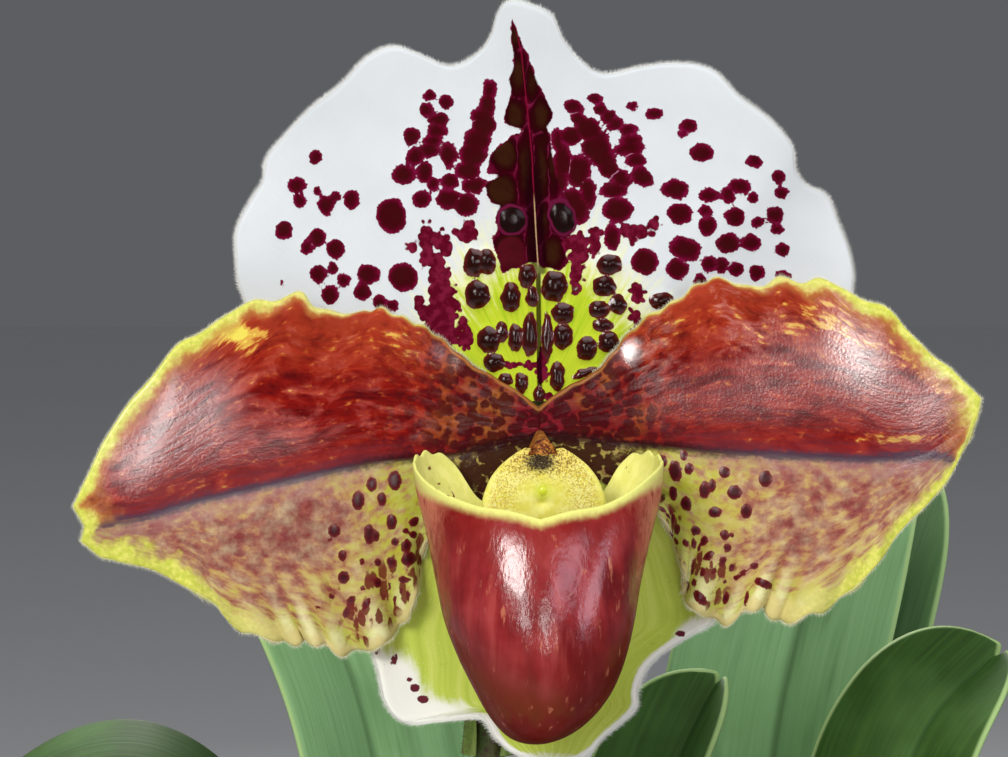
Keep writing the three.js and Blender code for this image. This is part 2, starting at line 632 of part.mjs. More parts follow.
// The column reaches forward from the petals' feet and ends in the shield over the pouch's mouth.
function makeColumn() {
  const shield = { y: -12.4, top: -3.1, bottom: -13.6, dome: 1.3, thickness: 1.4 };
  const widths = valueThrough([3.1, 4.9, 6.1, 6.8, 7.3, 7.6, 7.6, 7.2, 6.2, 4.4, 2.2]);
  const surface = (down, across) => {
    const s = across * 2 - 1;
    const notch = 0.9 * Math.exp(-((s / 0.3) ** 2)) * (1 - smooth(down, 0, 0.35));
    const bulge = shield.dome * (1 - s * s) * Math.sin(Math.PI * mix(0.15, 1, down));
    const z = mix(shield.top, shield.bottom, down) - notch;
    return new THREE.Vector3(0.2 + widths(down) * s, shield.y - bulge, z);
  };
  const plate = blade(stops(8), stops(8), surface, () => shield.thickness / 2);
  const back = -seatGap + 0.15;
  const neckPath = new THREE.CatmullRomCurve3([
    new THREE.Vector3(0, back, -0.6),
    new THREE.Vector3(0, -4, -0.8),
    new THREE.Vector3(0.1, -8.5, -3.4),
    new THREE.Vector3(0.2, -12.6, -6.4),
  ], false, 'catmullrom', 0.5);
  const girth = valueThrough([2.9, 2.7, 2.9, 3]);
  const neck = taperedTube(neckPath, 8, 12, (t) => girth(t));
  const parts = [toSolid(plate), toSolid(neck)];
  const lumps = [
    { at: [0.2, -13.9, -8.2], size: [1.2, 0.9, 1.2] }, // boss of the shield
    { at: [-3, -7.6, -4.6], size: [1.7, 1.9, 1.6] }, // pollen-bearing anthers, one each side
    { at: [3.2, -7.6, -4.6], size: [1.7, 1.9, 1.6] },
    { at: [0.1, -8, -7.4], size: [3, 2.6, 2.6] }, // stigma, under the shield
  ];
  for (const { at, size } of lumps) {
    const lump = new THREE.SphereGeometry(1, 8, 5);
    lump.scale(...size);
    parts.push(toSolid(moved(lump, ...at)));
  }
  place(bloom, 'column', toGeometry(wasm.Manifold.union(parts)), materials.column);
}

makePot();
makeBark();
makeLeaves();
makeStem();
makeDorsalSepal();
makeSynsepal();
makePetals();
makeLabellum();
makeColumn();

export default model;
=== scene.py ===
# A potted slipper orchid in flower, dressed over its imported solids.
import math
import bpy
import numpy as np
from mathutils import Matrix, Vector, noise


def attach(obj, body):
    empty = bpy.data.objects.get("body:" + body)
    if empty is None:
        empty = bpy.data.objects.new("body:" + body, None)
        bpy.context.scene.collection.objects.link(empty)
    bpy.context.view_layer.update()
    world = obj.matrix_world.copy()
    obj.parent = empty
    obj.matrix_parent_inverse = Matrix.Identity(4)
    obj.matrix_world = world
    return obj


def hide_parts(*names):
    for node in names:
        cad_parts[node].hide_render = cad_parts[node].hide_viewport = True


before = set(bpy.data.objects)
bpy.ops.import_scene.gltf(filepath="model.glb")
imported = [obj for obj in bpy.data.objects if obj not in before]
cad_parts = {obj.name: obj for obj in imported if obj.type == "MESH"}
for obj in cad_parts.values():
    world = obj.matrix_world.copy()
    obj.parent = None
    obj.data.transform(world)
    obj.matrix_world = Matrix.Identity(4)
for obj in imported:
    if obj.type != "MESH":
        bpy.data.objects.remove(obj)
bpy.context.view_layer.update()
scene = bpy.context.scene
metre = 0.001  # every size below is in millimetres
print("frame loaded")

# Camera, light and floor.
studio = {
    "camera": (-4.75, -413.1, 338.3), "tilt": 5, "lens": 100,
    # name: (place, aimed at, size, watts, colour)
    "lights": {
        "window": ((-355, -730, 690), (0, -60, 300), (290, 220), 4.6, (1, 0.98, 0.95)),
        "sky": ((80, -150, 1050), (0, -30, 250), (900, 700), 5.7, (0.95, 0.97, 1)),
        "side": ((387, -680, 615), (0, -70, 275), (420, 210), 1.0, (0.86, 0.84, 1)),
        "sideLow": ((698, -431, 415), (0, -70, 270), (300, 150), 0.65, (0.86, 0.84, 1)),
        "glint": ((110, -840, 445), (0, -60, 300), (110, 170), 0.65, (1, 0.98, 0.95)),
        "low": ((-284, -841, 477), (0, -60, 300), (130, 130), 0.65, (1, 0.98, 0.95)),
        "back": ((-160, 640, 700), (0, 0, 250), (500, 400), 4, (1, 0.98, 0.95)),
    },
    "surround": (0.30, 0.31, 0.33), "surroundStrength": 0.36,
    # the far floor tone is painted paler, painted light that makes up for the lamps' light falling off
    "floorSize": 9000, "floorTone": (0.74, 0.74, 0.74), "floorFarPaintedLight": (0.94, 0.94, 0.94),
}


def aim(thing, place, target):
    thing.location = Vector(place) * metre
    thing.rotation_euler = (Vector(target) - Vector(place)).to_track_quat("-Z", "Y").to_euler()


def setStudio():
    lens = bpy.data.cameras.new("view")
    lens.lens = studio["lens"]
    lens.sensor_width = 36
    lens.clip_start = 0.01
    camera = bpy.data.objects.new("view", lens)
    camera.location = Vector(studio["camera"]) * metre
    camera.rotation_euler = (math.radians(90 - studio["tilt"]), 0, 0)
    scene.collection.objects.link(camera)
    scene.camera = camera
    for name, (place, target, size, watts, colour) in studio["lights"].items():
        lamp = bpy.data.lights.new(name, "AREA")
        lamp.shape = "RECTANGLE"
        lamp.size, lamp.size_y = size[0] * metre, size[1] * metre
        lamp.energy = watts
        lamp.color = colour
        light = bpy.data.objects.new(name, lamp)
        aim(light, place, target)
        scene.collection.objects.link(light)
    surround = bpy.data.worlds.new("surround")
    surround.use_nodes = True
    air = surround.node_tree.nodes["Background"]
    air.inputs["Color"].default_value = (*studio["surround"], 1)
    air.inputs["Strength"].default_value = studio["surroundStrength"]
    scene.world = surround
    scene.view_settings.view_transform = "Standard"


# Shader maths: a socket that adds its own Math nodes.
class Wire:
    def __init__(self, paint, socket):
        self.paint, self.socket = paint, socket

    def maths(self, operation, other=None, swapped=False):
        pair = [self] if other is None else [other, self] if swapped else [self, other]
        return self.paint.add("ShaderNodeMath", {"operation": operation}, dict(enumerate(pair)))

    def __add__(self, other):
        return self.maths("ADD", other)

    def __sub__(self, other):
        return self.maths("SUBTRACT", other)

    def __rsub__(self, other):
        return self.maths("SUBTRACT", other, swapped=True)

    def __mul__(self, other):
        return self.maths("MULTIPLY", other)

    def __truediv__(self, other):
        return self.maths("DIVIDE", other)

    def __rtruediv__(self, other):
        return self.maths("DIVIDE", other, swapped=True)

    __radd__ = __add__
    __rmul__ = __mul__

    def least(self, other):
        return self.maths("MINIMUM", other)

    def most(self, other):
        return self.maths("MAXIMUM", other)


class Paint:
    def __init__(self, name):
        self.material = bpy.data.materials.new(name)
        self.material.use_nodes = True
        self.tree = self.material.node_tree
        self.tree.nodes.clear()

    # Any node: its settings first, then the values or links of its sockets.
    def add(self, kind, settings=None, values=None, output=0):
        node = self.tree.nodes.new(kind)
        for name, value in (settings or {}).items():
            if name == "stops":
                elements = node.color_ramp.elements
                while len(elements) < len(value):
                    elements.new(0.5)
                for element, (position, colour) in zip(elements, value):
                    element.position, element.color = position, tint(colour)
            else:
                setattr(node, name, value)
        for name, value in (values or {}).items():
            if isinstance(value, Wire):
                self.tree.links.new(value.socket, node.inputs[name])
            else:
                node.inputs[name].default_value = value
        return Wire(self, node.outputs[output])

    def place(self):
        return self.add("ShaderNodeTexCoord", output="Object")

    def field(self, name):
        return self.add("ShaderNodeAttribute", {"attribute_name": name}, output="Fac")

    def vectorField(self, name):
        return self.add("ShaderNodeAttribute", {"attribute_name": name}, output="Vector")

    def stretched(self, vector, x, y, z):
        return self.add("ShaderNodeVectorMath", {"operation": "MULTIPLY"}, {0: vector, 1: (x, y, z)})

    def grain(self, vector, scale, detail=2.0, roughness=0.55, distortion=0.0):
        values = {"Vector": vector, "Scale": scale, "Detail": detail, "Roughness": roughness,
                  "Distortion": distortion}
        return self.add("ShaderNodeTexNoise", None, values)

    def cells(self, vector, scale, randomness=1.0):
        values = {"Vector": vector, "Scale": scale, "Randomness": randomness}
        return self.add("ShaderNodeTexVoronoi", None, values)

    # 0 below low, 1 above high, eased between; high below low turns it round.
    def ease(self, value, low, high):
        values = {"Value": value, "From Min": min(low, high), "From Max": max(low, high)}
        if low > high:
            values.update({"To Min": 1.0, "To Max": 0.0})
        return self.add("ShaderNodeMapRange", {"interpolation_type": "SMOOTHSTEP"}, values)

    def mix(self, factor, first, second):
        return self.add("ShaderNodeMix", {"data_type": "RGBA"},
                        {0: factor, 6: tint(first), 7: tint(second)}, output=2)

    def ramp(self, value, *elements):
        return self.add("ShaderNodeValToRGB", {"stops": elements}, {"Fac": value})

    def bump(self, height, depth, strength=1.0, under=None):
        values = {"Height": height, "Distance": depth * metre, "Strength": strength}
        if under is not None:
            values["Normal"] = under
        return self.add("ShaderNodeBump", None, values)

    # One surface, or a matt one that turns wet-looking where shine is high.
    def finish(self, values, shine=None, wet=None):
        shader = self.add("ShaderNodeBsdfPrincipled", None, values)
        if shine is not None:
            second = self.add("ShaderNodeBsdfPrincipled", None, {**values, **wet})
            shader = self.add("ShaderNodeMixShader", None, {0: shine, 1: shader, 2: second})
        end = self.tree.nodes.new("ShaderNodeOutputMaterial")
        self.tree.links.new(shader.socket, end.inputs["Surface"])
        return self.material


# Red, green and blue from 0 to 255 as a linear colour; a link or a linear colour passes unchanged.
def tint(colour):
    if isinstance(colour, Wire) or len(colour) == 4:
        return colour

    def linear(value):
        value /= 255
        return value / 12.92 if value <= 0.04045 else ((value + 0.055) / 1.055) ** 2.4
    return (*(linear(value) for value in colour), 1.0)


# Curves, sheets and tubes.
def curveThrough(points):
    nodes = np.array(points, float)
    ends = np.concatenate([[2 * nodes[0] - nodes[1]], nodes, [2 * nodes[-1] - nodes[-2]]])

    def at(t):
        place = np.clip(np.asarray(t, float), 0, 1) * (len(nodes) - 1)
        first = np.minimum(place.astype(int), len(nodes) - 2)
        w = place - first
        if nodes.ndim > 1:
            w = w[..., None]
        a, b, c, d = (ends[first + k] for k in range(4))
        square, cube = a - 2.5 * b + 2 * c - d / 2, 1.5 * b - 1.5 * c + (d - a) / 2
        return b + w * ((c - a) / 2 + w * (square + w * cube))
    return at


def ease(value, low, high):
    t = np.clip((value - low) / (high - low), 0, 1)
    return t * t * (3 - 2 * t)


def mix(a, b, t):
    return a * (1 - t) + b * t


def unit(vectors):
    return vectors / np.maximum(np.linalg.norm(vectors, axis=-1, keepdims=True), 1e-9)


def stops(count, bend=1.0):
    return 1 - (1 - np.linspace(0, 1, count + 1)) ** bend


# Shares down and across a sheet, on its grid of rows and columns.
def shares(form, bend=1.0):
    return np.meshgrid(stops(form["rows"], bend), stops(form["columns"]), indexing="ij")


# The flower nods: its own millimetres turned into the plant's.
bloom = {"hub": (0, -45, 300), "nod": -5}


def fromBloom(points):
    c, s = math.cos(math.radians(bloom["nod"])), math.sin(math.radians(bloom["nod"]))
    x, y, z = points[..., 0], points[..., 1], points[..., 2]
    return np.stack([x, y * c - z * s, y * s + z * c], -1) + np.array(bloom["hub"], float)


def makeMesh(name, points, faces, finish, fields=None):
    mesh = bpy.data.meshes.new(name)
    mesh.from_pydata((points * metre).tolist(), [], faces)
    for label, values in (fields or {}).items():
        values = np.asarray(values, np.float32)
        kind, key = ("FLOAT", "value") if values.ndim == 1 else ("FLOAT_VECTOR", "vector")
        mesh.attributes.new(label, kind, "POINT").data.foreach_set(key, values.ravel())
    mesh.shade_smooth()
    mesh.materials.append(finish)
    piece = bpy.data.objects.new(name, mesh)
    scene.collection.objects.link(piece)
    return piece


def settle(piece, slotName, *nodes):
    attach(piece, "root")
    if nodes:
        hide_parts(*nodes)
    print("made", piece.name, len(piece.data.polygons), "faces")
    return piece


def gridLength(points, axis):
    steps = np.linalg.norm(np.diff(points, axis=axis), axis=-1)
    pad = [(0, 0), (0, 0)]
    pad[axis] = (1, 0)
    return np.pad(np.cumsum(steps, axis=axis), pad)


def gridNormals(points):
    return unit(np.cross(np.gradient(points, axis=0), np.gradient(points, axis=1)))


# A thin closed sheet: its middle surface, half thickness and fields on a grid of rows and columns.
# side is the face that carries the relief: 1 along the grid's normal, -1 against it.
def makeSheet(name, middle, half, finish, side=-1, relief=None, fields=None, turn=None, roundness=0.5):
    rows, columns = middle.shape[:2]
    along, across = gridLength(middle, 0), gridLength(middle, 1)
    edge = np.minimum(across, across[:, -1:] - across)
    edge = np.minimum(edge, along[-1:] - along)
    lip = np.clip(edge / roundness, 0, 1)
    half = half * np.sqrt(np.clip(1 - (1 - lip) ** 2, 0.06, 1))
    normals = gridNormals(middle)
    raised = 0 if relief is None else relief
    faces = {1: middle + normals * (half + (raised if side > 0 else 0))[..., None],
             -1: middle - normals * (half + (raised if side < 0 else 0))[..., None]}
    points = np.concatenate([faces[1].reshape(-1, 3), faces[-1].reshape(-1, 3)])
    count = rows * columns
    at = np.arange(count).reshape(rows, columns)
    a, b, c, d = at[:-1, :-1], at[1:, :-1], at[1:, 1:], at[:-1, 1:]
    quads = [np.stack([a, b, c, d], -1).reshape(-1, 4), np.stack([a, d, c, b], -1).reshape(-1, 4) + count]
    for line in (at[:, 0], at[::-1, -1], at[0, ::-1], at[-1, :]):
        p, q = line[:-1], line[1:]
        quads.append(np.stack([p, p + count, q + count, q], -1))
    values = {"edge": edge}
    values.update(fields or {})
    doubled = {label: np.concatenate([v.reshape(count, -1)] * 2).squeeze() for label, v in values.items()}
    doubled["face"] = np.concatenate([np.full(count, 1.0 if side > 0 else 0.0),
                                      np.full(count, 0.0 if side > 0 else 1.0)])
    if turn is not None:
        points = turn(points)
    return makeMesh(name, points, np.concatenate(quads).tolist(), finish, doubled)


# A closed tube round a line of points; radius(t, angle) in millimetres.
def tubeGrid(line, radius, sides):
    count = len(line)
    tangents = unit(np.gradient(line, axis=0))
    normal = np.cross(tangents[0], (0, 0, 1.0))
    normal = unit(normal if np.linalg.norm(normal) > 1e-3 else np.array([1.0, 0, 0]))
    angle = np.linspace(0, 2 * np.pi, sides, endpoint=False)
    rings = []
    for i in range(count):
        normal = unit(normal - tangents[i] * np.dot(normal, tangents[i]))
        other = np.cross(tangents[i], normal)
        r = radius(i / (count - 1), angle)[:, None]
        rings.append(line[i] + r * (np.cos(angle)[:, None] * normal + np.sin(angle)[:, None] * other))
    return np.array(rings)


# Rings of points joined into a closed skin. The two points after them close the first and last ring.
def ringFaces(rings, sides, flipped=False):
    way = -1 if flipped else 1
    first, last, start = rings * sides, rings * sides + 1, (rings - 1) * sides
    faces = []
    for i in range(rings - 1):
        for k in range(sides):
            a, b = i * sides + k, i * sides + (k + 1) % sides
            faces.append([a, b, b + sides, a + sides][::way])
    for k in range(sides):
        after = (k + 1) % sides
        faces.append([first, *[after, k][::way]])
        faces.append([last, *[start + k, start + after][::way]])
    return faces


def makeTube(name, line, radius, sides, finish, fields=None, turn=None):
    grid = tubeGrid(line, radius, sides)
    rings = len(grid)
    points = np.concatenate([grid.reshape(-1, 3), line[:1], line[-1:]])
    if turn is not None:
        points = turn(points)
    t = np.repeat(np.linspace(0, 1, rings), sides)
    angle = np.tile(np.linspace(0, 2 * np.pi, sides, endpoint=False), rings)
    values = {"along": np.concatenate([t, [0, 1]]), "around": np.concatenate([np.cos(angle), [0, 0]])}
    values.update(fields or {})
    return makeMesh(name, points, ringFaces(rings, sides), finish, values)


farOutside = -9.0  # the depth of a point that lies in no oval


# The plane as an oval sees it, in shares of its half width and half height, squared and added.
def fromOval(x, z, cx, cz, rx, rz=None, turn=0):
    rz, turn = rz or rx, math.radians(turn)
    dx, dz = x - cx, z - cz
    u = (dx * math.cos(turn) + dz * math.sin(turn)) / rx
    v = (dz * math.cos(turn) - dx * math.sin(turn)) / rz
    return u * u + v * v


def ovalsOf(group):
    return group if isinstance(group[0], list) else [group]


# How deep a point lies inside each group of ovals, in millimetres: the deepest and the next deepest.
def ovalDepth(x, z, groups):
    best = np.full(x.shape, farOutside)
    second = best.copy()
    for group in groups:
        depth = np.full(x.shape, farOutside)
        for oval in ovalsOf(group):
            depth = np.maximum(depth, (1 - np.sqrt(fromOval(x, z, *oval))) * min(oval[2:4]))
        second = np.maximum(second, np.minimum(best, depth))
        best = np.maximum(best, depth)
    return best, second


# The same for one closed outline: positive inside.
def outlineDepth(x, z, corners):
    corners = np.array(corners, float)
    nearest = np.full(x.shape, 1e9)
    inside = np.zeros(x.shape, bool)
    for (ax, az), (bx, bz) in zip(corners, np.roll(corners, -1, axis=0)):
        length = (bx - ax) ** 2 + (bz - az) ** 2
        t = np.clip(((x - ax) * (bx - ax) + (z - az) * (bz - az)) / length, 0, 1)
        nearest = np.minimum(nearest, np.hypot(x - ax - t * (bx - ax), z - az - t * (bz - az)))
        if az != bz:
            inside ^= ((az > z) != (bz > z)) & (x < (bx - ax) * (z - az) / (bz - az) + ax)
    return np.where(inside, nearest, -nearest)


# Bend a plane a little, so that ovals laid on it come out irregular.
def strayed(x, z, reach, pace):
    across = np.sin(pace * (1.3 * x + 0.7 * z)) + 0.6 * np.sin(pace * (2.3 * z - 1.1 * x) + 1.9)
    up = np.sin(pace * (0.6 * x - 1.5 * z) + 0.8) + 0.6 * np.sin(pace * (2.1 * x + 1.2 * z) + 2.7)
    return x + reach * across, z + reach * up


# Soft clouds of strength, each [x, z, reach across, reach up, strength, turn].
def clouds(x, z, patches):
    total = np.zeros(x.shape)
    for cx, cz, rx, rz, strength, turn in patches:
        total += strength * np.exp(-fromOval(x, z, cx, cz, rx, rz, turn))
    return total


# Hairs: Geometry Nodes set a thin cone on every point.
def hairTree(onFaces):
    tree = bpy.data.node_groups.new("hairs", "GeometryNodeTree")
    face = tree.interface
    face.new_socket("Roots", in_out="INPUT", socket_type="NodeSocketGeometry")
    for label in ("Spacing", "Length", "Radius", "Spread", "Shortest"):
        face.new_socket(label, in_out="INPUT", socket_type="NodeSocketFloat")
    face.new_socket("Seed", in_out="INPUT", socket_type="NodeSocketInt")
    face.new_socket("Finish", in_out="INPUT", socket_type="NodeSocketMaterial")
    face.new_socket("Hairs", in_out="OUTPUT", socket_type="NodeSocketGeometry")

    def add(kind, settings=None, values=None):
        node = tree.nodes.new(kind)
        for label, value in (settings or {}).items():
            setattr(node, label, value)
        for label, value in (values or {}).items():
            if isinstance(value, bpy.types.NodeSocket):
                tree.links.new(value, node.inputs[label])
            else:
                node.inputs[label].default_value = value
        return node

    given = add("NodeGroupInput").outputs
    if onFaces:
        hairy = add("GeometryNodeInputNamedAttribute", {"data_type": "FLOAT"}, {"Name": "hairy"})
        area = add("ShaderNodeMath", {"operation": "MULTIPLY"}, {0: given["Spacing"], 1: given["Spacing"]})
        density = add("ShaderNodeMath", {"operation": "DIVIDE"},
                      {0: hairy.outputs["Attribute"], 1: area.outputs[0]})
        scattered = add("GeometryNodeDistributePointsOnFaces", None,
                        {"Mesh": given["Roots"], "Density": density.outputs[0], "Seed": given["Seed"]})
        roots, growth = scattered.outputs["Points"], scattered.outputs["Normal"]
    else:
        line = add("GeometryNodeMeshToCurve", None, {"Mesh": given["Roots"]})
        even = add("GeometryNodeResampleCurve", {"mode": "LENGTH"},
                   {"Curve": line.outputs[0], "Length": given["Spacing"]})
        outwards = add("GeometryNodeInputNamedAttribute", {"data_type": "FLOAT_VECTOR"}, {"Name": "growth"})
        roots, growth = even.outputs[0], outwards.outputs["Attribute"]
    stray = add("FunctionNodeRandomValue", {"data_type": "FLOAT_VECTOR"}, {"Seed": given["Seed"]})
    stray.inputs[0].default_value, stray.inputs[1].default_value = (-1, -1, -1), (1, 1, 1)
    offset = add("ShaderNodeVectorMath", {"operation": "SCALE"}, {0: stray.outputs[0]})
    tree.links.new(given["Spread"], offset.inputs["Scale"])
    way = add("ShaderNodeVectorMath", {"operation": "ADD"}, {0: growth, 1: offset.outputs[0]})
    turned = add("FunctionNodeAlignRotationToVector", {"axis": "Z"}, {"Vector": way.outputs[0]})
    size = add("FunctionNodeRandomValue", {"data_type": "FLOAT"}, {"Seed": given["Seed"]})
    tree.links.new(given["Shortest"], size.inputs[2])
    size.inputs[3].default_value = 1.0
    scaled = add("ShaderNodeCombineXYZ", None, {"X": 1.0, "Y": 1.0, "Z": size.outputs[1]})
    hair = add("GeometryNodeMeshCone", {"fill_type": "NGON"},
               {"Vertices": 3, "Radius Top": 0.0, "Radius Bottom": given["Radius"],
                "Depth": given["Length"]})
    planted = add("GeometryNodeInstanceOnPoints", None,
                  {"Points": roots, "Instance": hair.outputs["Mesh"], "Rotation": turned.outputs[0],
                   "Scale": scaled.outputs[0]})
    real = add("GeometryNodeRealizeInstances", None, {"Geometry": planted.outputs[0]})
    dressed = add("GeometryNodeSetMaterial", None,
                  {"Geometry": real.outputs[0], "Material": given["Finish"]})
    add("NodeGroupOutput", None, {"Hairs": dressed.outputs[0]})
    return tree


def growHairs(name, roots, tree, sizes, finish):
    grower = roots.modifiers.new("hairs", "NODES")
    grower.node_group = tree
    spacing, length, radius, spread, shortest, seed = sizes
    values = {"Spacing": spacing * metre, "Length": length * metre, "Radius": radius * metre,
              "Spread": spread, "Shortest": shortest, "Seed": seed, "Finish": finish}
    for item in tree.interface.items_tree:
        if item.item_type == "SOCKET" and item.in_out == "INPUT" and item.name in values:
            grower[item.identifier] = values[item.name]
    bpy.context.view_layer.update()
    ready = roots.evaluated_get(bpy.context.evaluated_depsgraph_get())
    mesh = bpy.data.meshes.new_from_object(ready)
    mesh.name = name
    roots.modifiers.remove(grower)
    bpy.data.objects.remove(roots)
    hairs = bpy.data.objects.new(name, mesh)
    scene.collection.objects.link(hairs)
    return hairs


# Rows of hair roots along open lines; growth is the way each hair points.
def rootLines(name, lines, growths):
    points, edges, start = [], [], 0
    for line in lines:
        points.extend((line * metre).tolist())
        edges.extend([[start + i, start + i + 1] for i in range(len(line) - 1)])
        start += len(line)
    mesh = bpy.data.meshes.new(name)
    mesh.from_pydata(points, edges, [])
    mesh.attributes.new("growth", "FLOAT_VECTOR", "POINT").data.foreach_set(
        "vector", np.concatenate(growths).astype(np.float32).ravel())
    roots = bpy.data.objects.new(name, mesh)
    scene.collection.objects.link(roots)
    return roots


# Rows of roots round the free margin of a sheet: its first column, last row and last column. Each
# row lies lift half thicknesses up the margin, sunk into it, and its hairs fan out.
hairRows = {"lifts": (-0.8, 0, 0.8), "half": 0.35, "sink": 0.15, "fan": 0.55}


def marginRoots(name, middle, turn, skip):
    normals = gridNormals(middle)
    out = np.gradient(middle, axis=1)
    end = np.gradient(middle, axis=0)
    outward = np.concatenate([-unit(out[skip:, 0]), unit(end[-1]), unit(out[skip:, -1])[::-1]])
    rim = np.concatenate([middle[skip:, 0], middle[-1], middle[skip:, -1][::-1]])
    normal = np.concatenate([normals[skip:, 0], normals[-1], normals[skip:, -1][::-1]])
    lines, growths = [], []
    origin = turn(np.zeros((1, 3)))
    for lift in hairRows["lifts"]:
        lines.append(turn(rim + normal * hairRows["half"] * lift - outward * hairRows["sink"]))
        growths.append(turn(outward + normal * lift * hairRows["fan"]) - origin)
    return rootLines(name, lines, growths)


def hairFinish(name, colour):
    paint = Paint(name)
    shade = paint.grain(paint.place(), 900, 1)
    low = tuple(0.75 * c for c in tint(colour)[:3]) + (1.0,)
    return paint.finish({"Base Color": paint.mix(shade, low, colour), "Roughness": 0.6})


